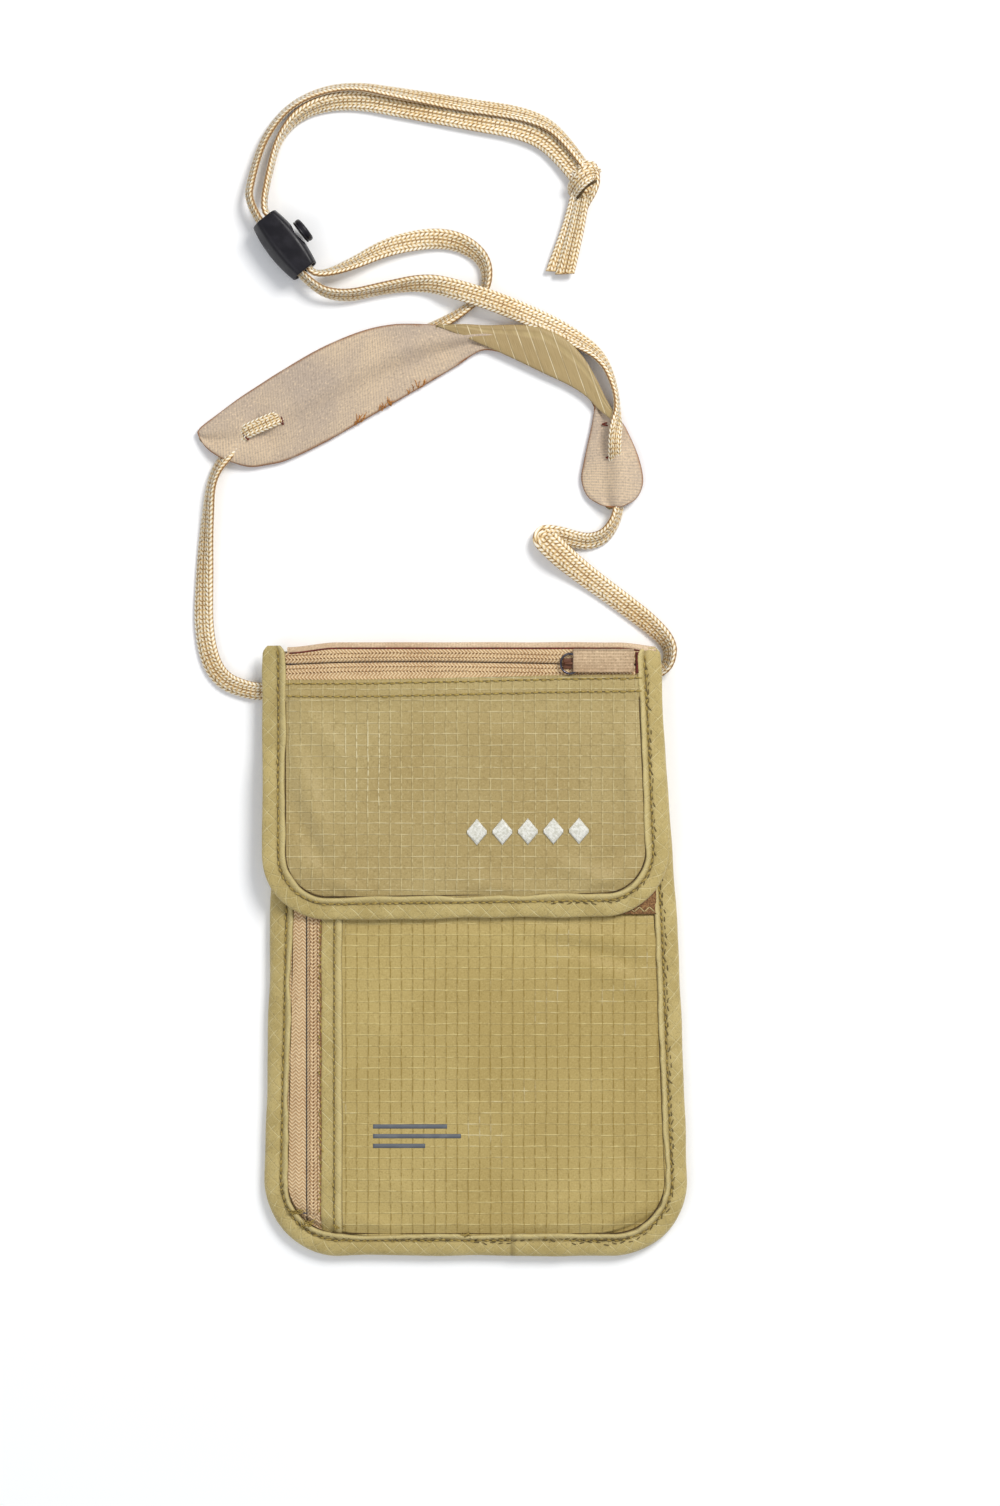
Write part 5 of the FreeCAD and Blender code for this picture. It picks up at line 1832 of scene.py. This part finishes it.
# The barrel's outline and its tunnel's, seen along the cord.
SHELL = [(-3.3, 5.0), (-6.1, 0.2), (-5.6, -3.6), (-3.6, -5.2)]
SHELL += [(3.8, -5.2), (5.7, -3.0), (5.6, 2.6), (4.4, 5.0)]
TUNNEL = [(-4.0, 2.1), (-4.3, 0.3), (-4.1, -1.8), (-3.0, -2.2)]
TUNNEL += [(3.0, -2.2), (4.1, -1.8), (4.2, 1.4), (3.6, 2.1)]
shell = ring_of(SHELL, 1.5)
tunnel = ring_of(TUNNEL, 0.6)


def lock_ring(ring, at, wide, high):
    """An outline at a place along the barrel, scaled across and up."""
    return LOCK + AXIS * at + ring[:, :1] * wide * OUT + ring[:, 1:] * high * UP


rings = []
for at in np.linspace(-LOCK_HALF, LOCK_HALF, 25):
    bulge = 1 - (at / LOCK_HALF) ** 2
    rings.append(lock_ring(shell, at, 0.80 + 0.20 * bulge, 0.88 + 0.12 * bulge))
for at, wide, high in ((10.4, 0.785, 0.865), (10.55, 0.74, 0.82)):
    rings.insert(0, lock_ring(shell, -at, wide, high))
    rings.append(lock_ring(shell, at, wide, high))
rings.append(lock_ring(tunnel, 10.45, 0.97, 1.12))
for at in np.linspace(LOCK_HALF, -LOCK_HALF, 9):
    rings.append(lock_ring(tunnel, at, 0.94, 1.05))
rings.append(lock_ring(tunnel, -10.45, 0.97, 1.12))
rings = np.array(rings)
faces = grid_faces(*rings.shape[:2], around=True, along=True)
lock_body = make("lock_barrel", rings, faces, PLASTIC, "cord_lock", "lock_plastic")
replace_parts(lock_body, "cord_lock_body")

turn = np.linspace(0, 2 * math.pi, 40, endpoint=False)


def round_ring(at, radius):
    """A ring round the button's axis."""
    return LOCK + OUT * at + radius * (np.cos(turn)[:, None] * AXIS + np.sin(turn)[:, None] * UP)


def face_outward(piece):
    """Turns a closed mesh's faces outward."""
    bpy.context.view_layer.objects.active = piece
    for other in bpy.context.selected_objects:
        other.select_set(False)
    piece.select_set(True)
    bpy.ops.object.mode_set(mode="EDIT")
    bpy.ops.mesh.select_all(action="SELECT")
    bpy.ops.mesh.normals_make_consistent(inside=False)
    bpy.ops.object.mode_set(mode="OBJECT")
    piece.select_set(False)


# The bore that the button moves in.
bore = loft([round_ring(at, 4.25) for at in (3.2, 9.0)])
cutter = make("bore_cutter", *bore, PLASTIC)
for thing in (lock_body, cutter):
    face_outward(thing)
cut = lock_body.modifiers.new("bore", "BOOLEAN")
cut.operation = "DIFFERENCE"
cut.solver = "EXACT"
cut.object = cutter
bpy.context.view_layer.objects.active = lock_body
lock_body.select_set(True)
bpy.ops.object.modifier_apply(modifier="bore")
bpy.data.objects.remove(cutter)

# The button: a domed, ribbed cap on its stem.
PROFILE = [
    (6.2, 0.4),
    (6.2, 3.6),
    (6.4, 3.9),
    (6.6, 3.95),
    (6.75, 3.75),
    (7.0, 3.75),
    (7.15, 3.98),
    (7.9, 3.98),
    (8.35, 3.8),
    (8.6, 3.35),
    (8.72, 2.2),
    (8.78, 0.4),
]
cap = loft([round_ring(at, radius) for at, radius in PROFILE])
button = make("lock_cap", *cap, PLASTIC, "lock_button", "lock_plastic")
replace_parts(button, "cord_lock_button")
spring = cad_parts["cord_lock_spring"]
if spring.material_slots:
    for slot in spring.material_slots:
        slot.material = STEEL
else:
    spring.data.materials.append(STEEL)

# ---------------------------------------------------------------- light and table

SURFACE = Shader("table")
place = SURFACE.node("ShaderNodeTexCoord").outputs["Object"]
cloud = SURFACE.noise(place, 0.25, 2)
white = SURFACE.mix(SURFACE.span(cloud, 0.2, 0.8), (255, 255, 255), (252, 253, 254))
SURFACE.set(Base_Color=white, Roughness=0.9)
size = 1.6
table = bpy.data.meshes.new("table")
table.from_pydata(
    [(-size, -size, 0), (size, -size, 0), (size, size, 0), (-size, size, 0)], [], [(0, 1, 2, 3)]
)
table.materials.append(SURFACE.material)
table = bpy.data.objects.new("table", table)
scene.collection.objects.link(table)

world = bpy.data.worlds.new("world")
world.use_nodes = True
background = world.node_tree.nodes["Background"]
background.inputs["Color"].default_value = (0.93, 0.955, 1, 1)
background.inputs["Strength"].default_value = 0.51
scene.world = world


def area_light(name, place, size, power, colour):
    """A round soft light aimed at the object's middle."""
    light = bpy.data.lights.new(name, "AREA")
    light.shape = "DISK"
    light.size = size
    light.energy = power
    light.color = colour
    holder = bpy.data.objects.new(name, light)
    holder.location = place
    aim = Vector(np.array([0, 0.08, 0]) - np.array(place, float))
    holder.rotation_euler = aim.to_track_quat("-Z", "Y").to_euler()
    scene.collection.objects.link(holder)


area_light("key", (0.75, 0.95, 1.25), size=0.7, power=21.0, colour=(1, 0.985, 0.96))
area_light("fill", (-0.9, -0.5, 1.3), size=1.2, power=5.2, colour=(0.97, 0.98, 1))
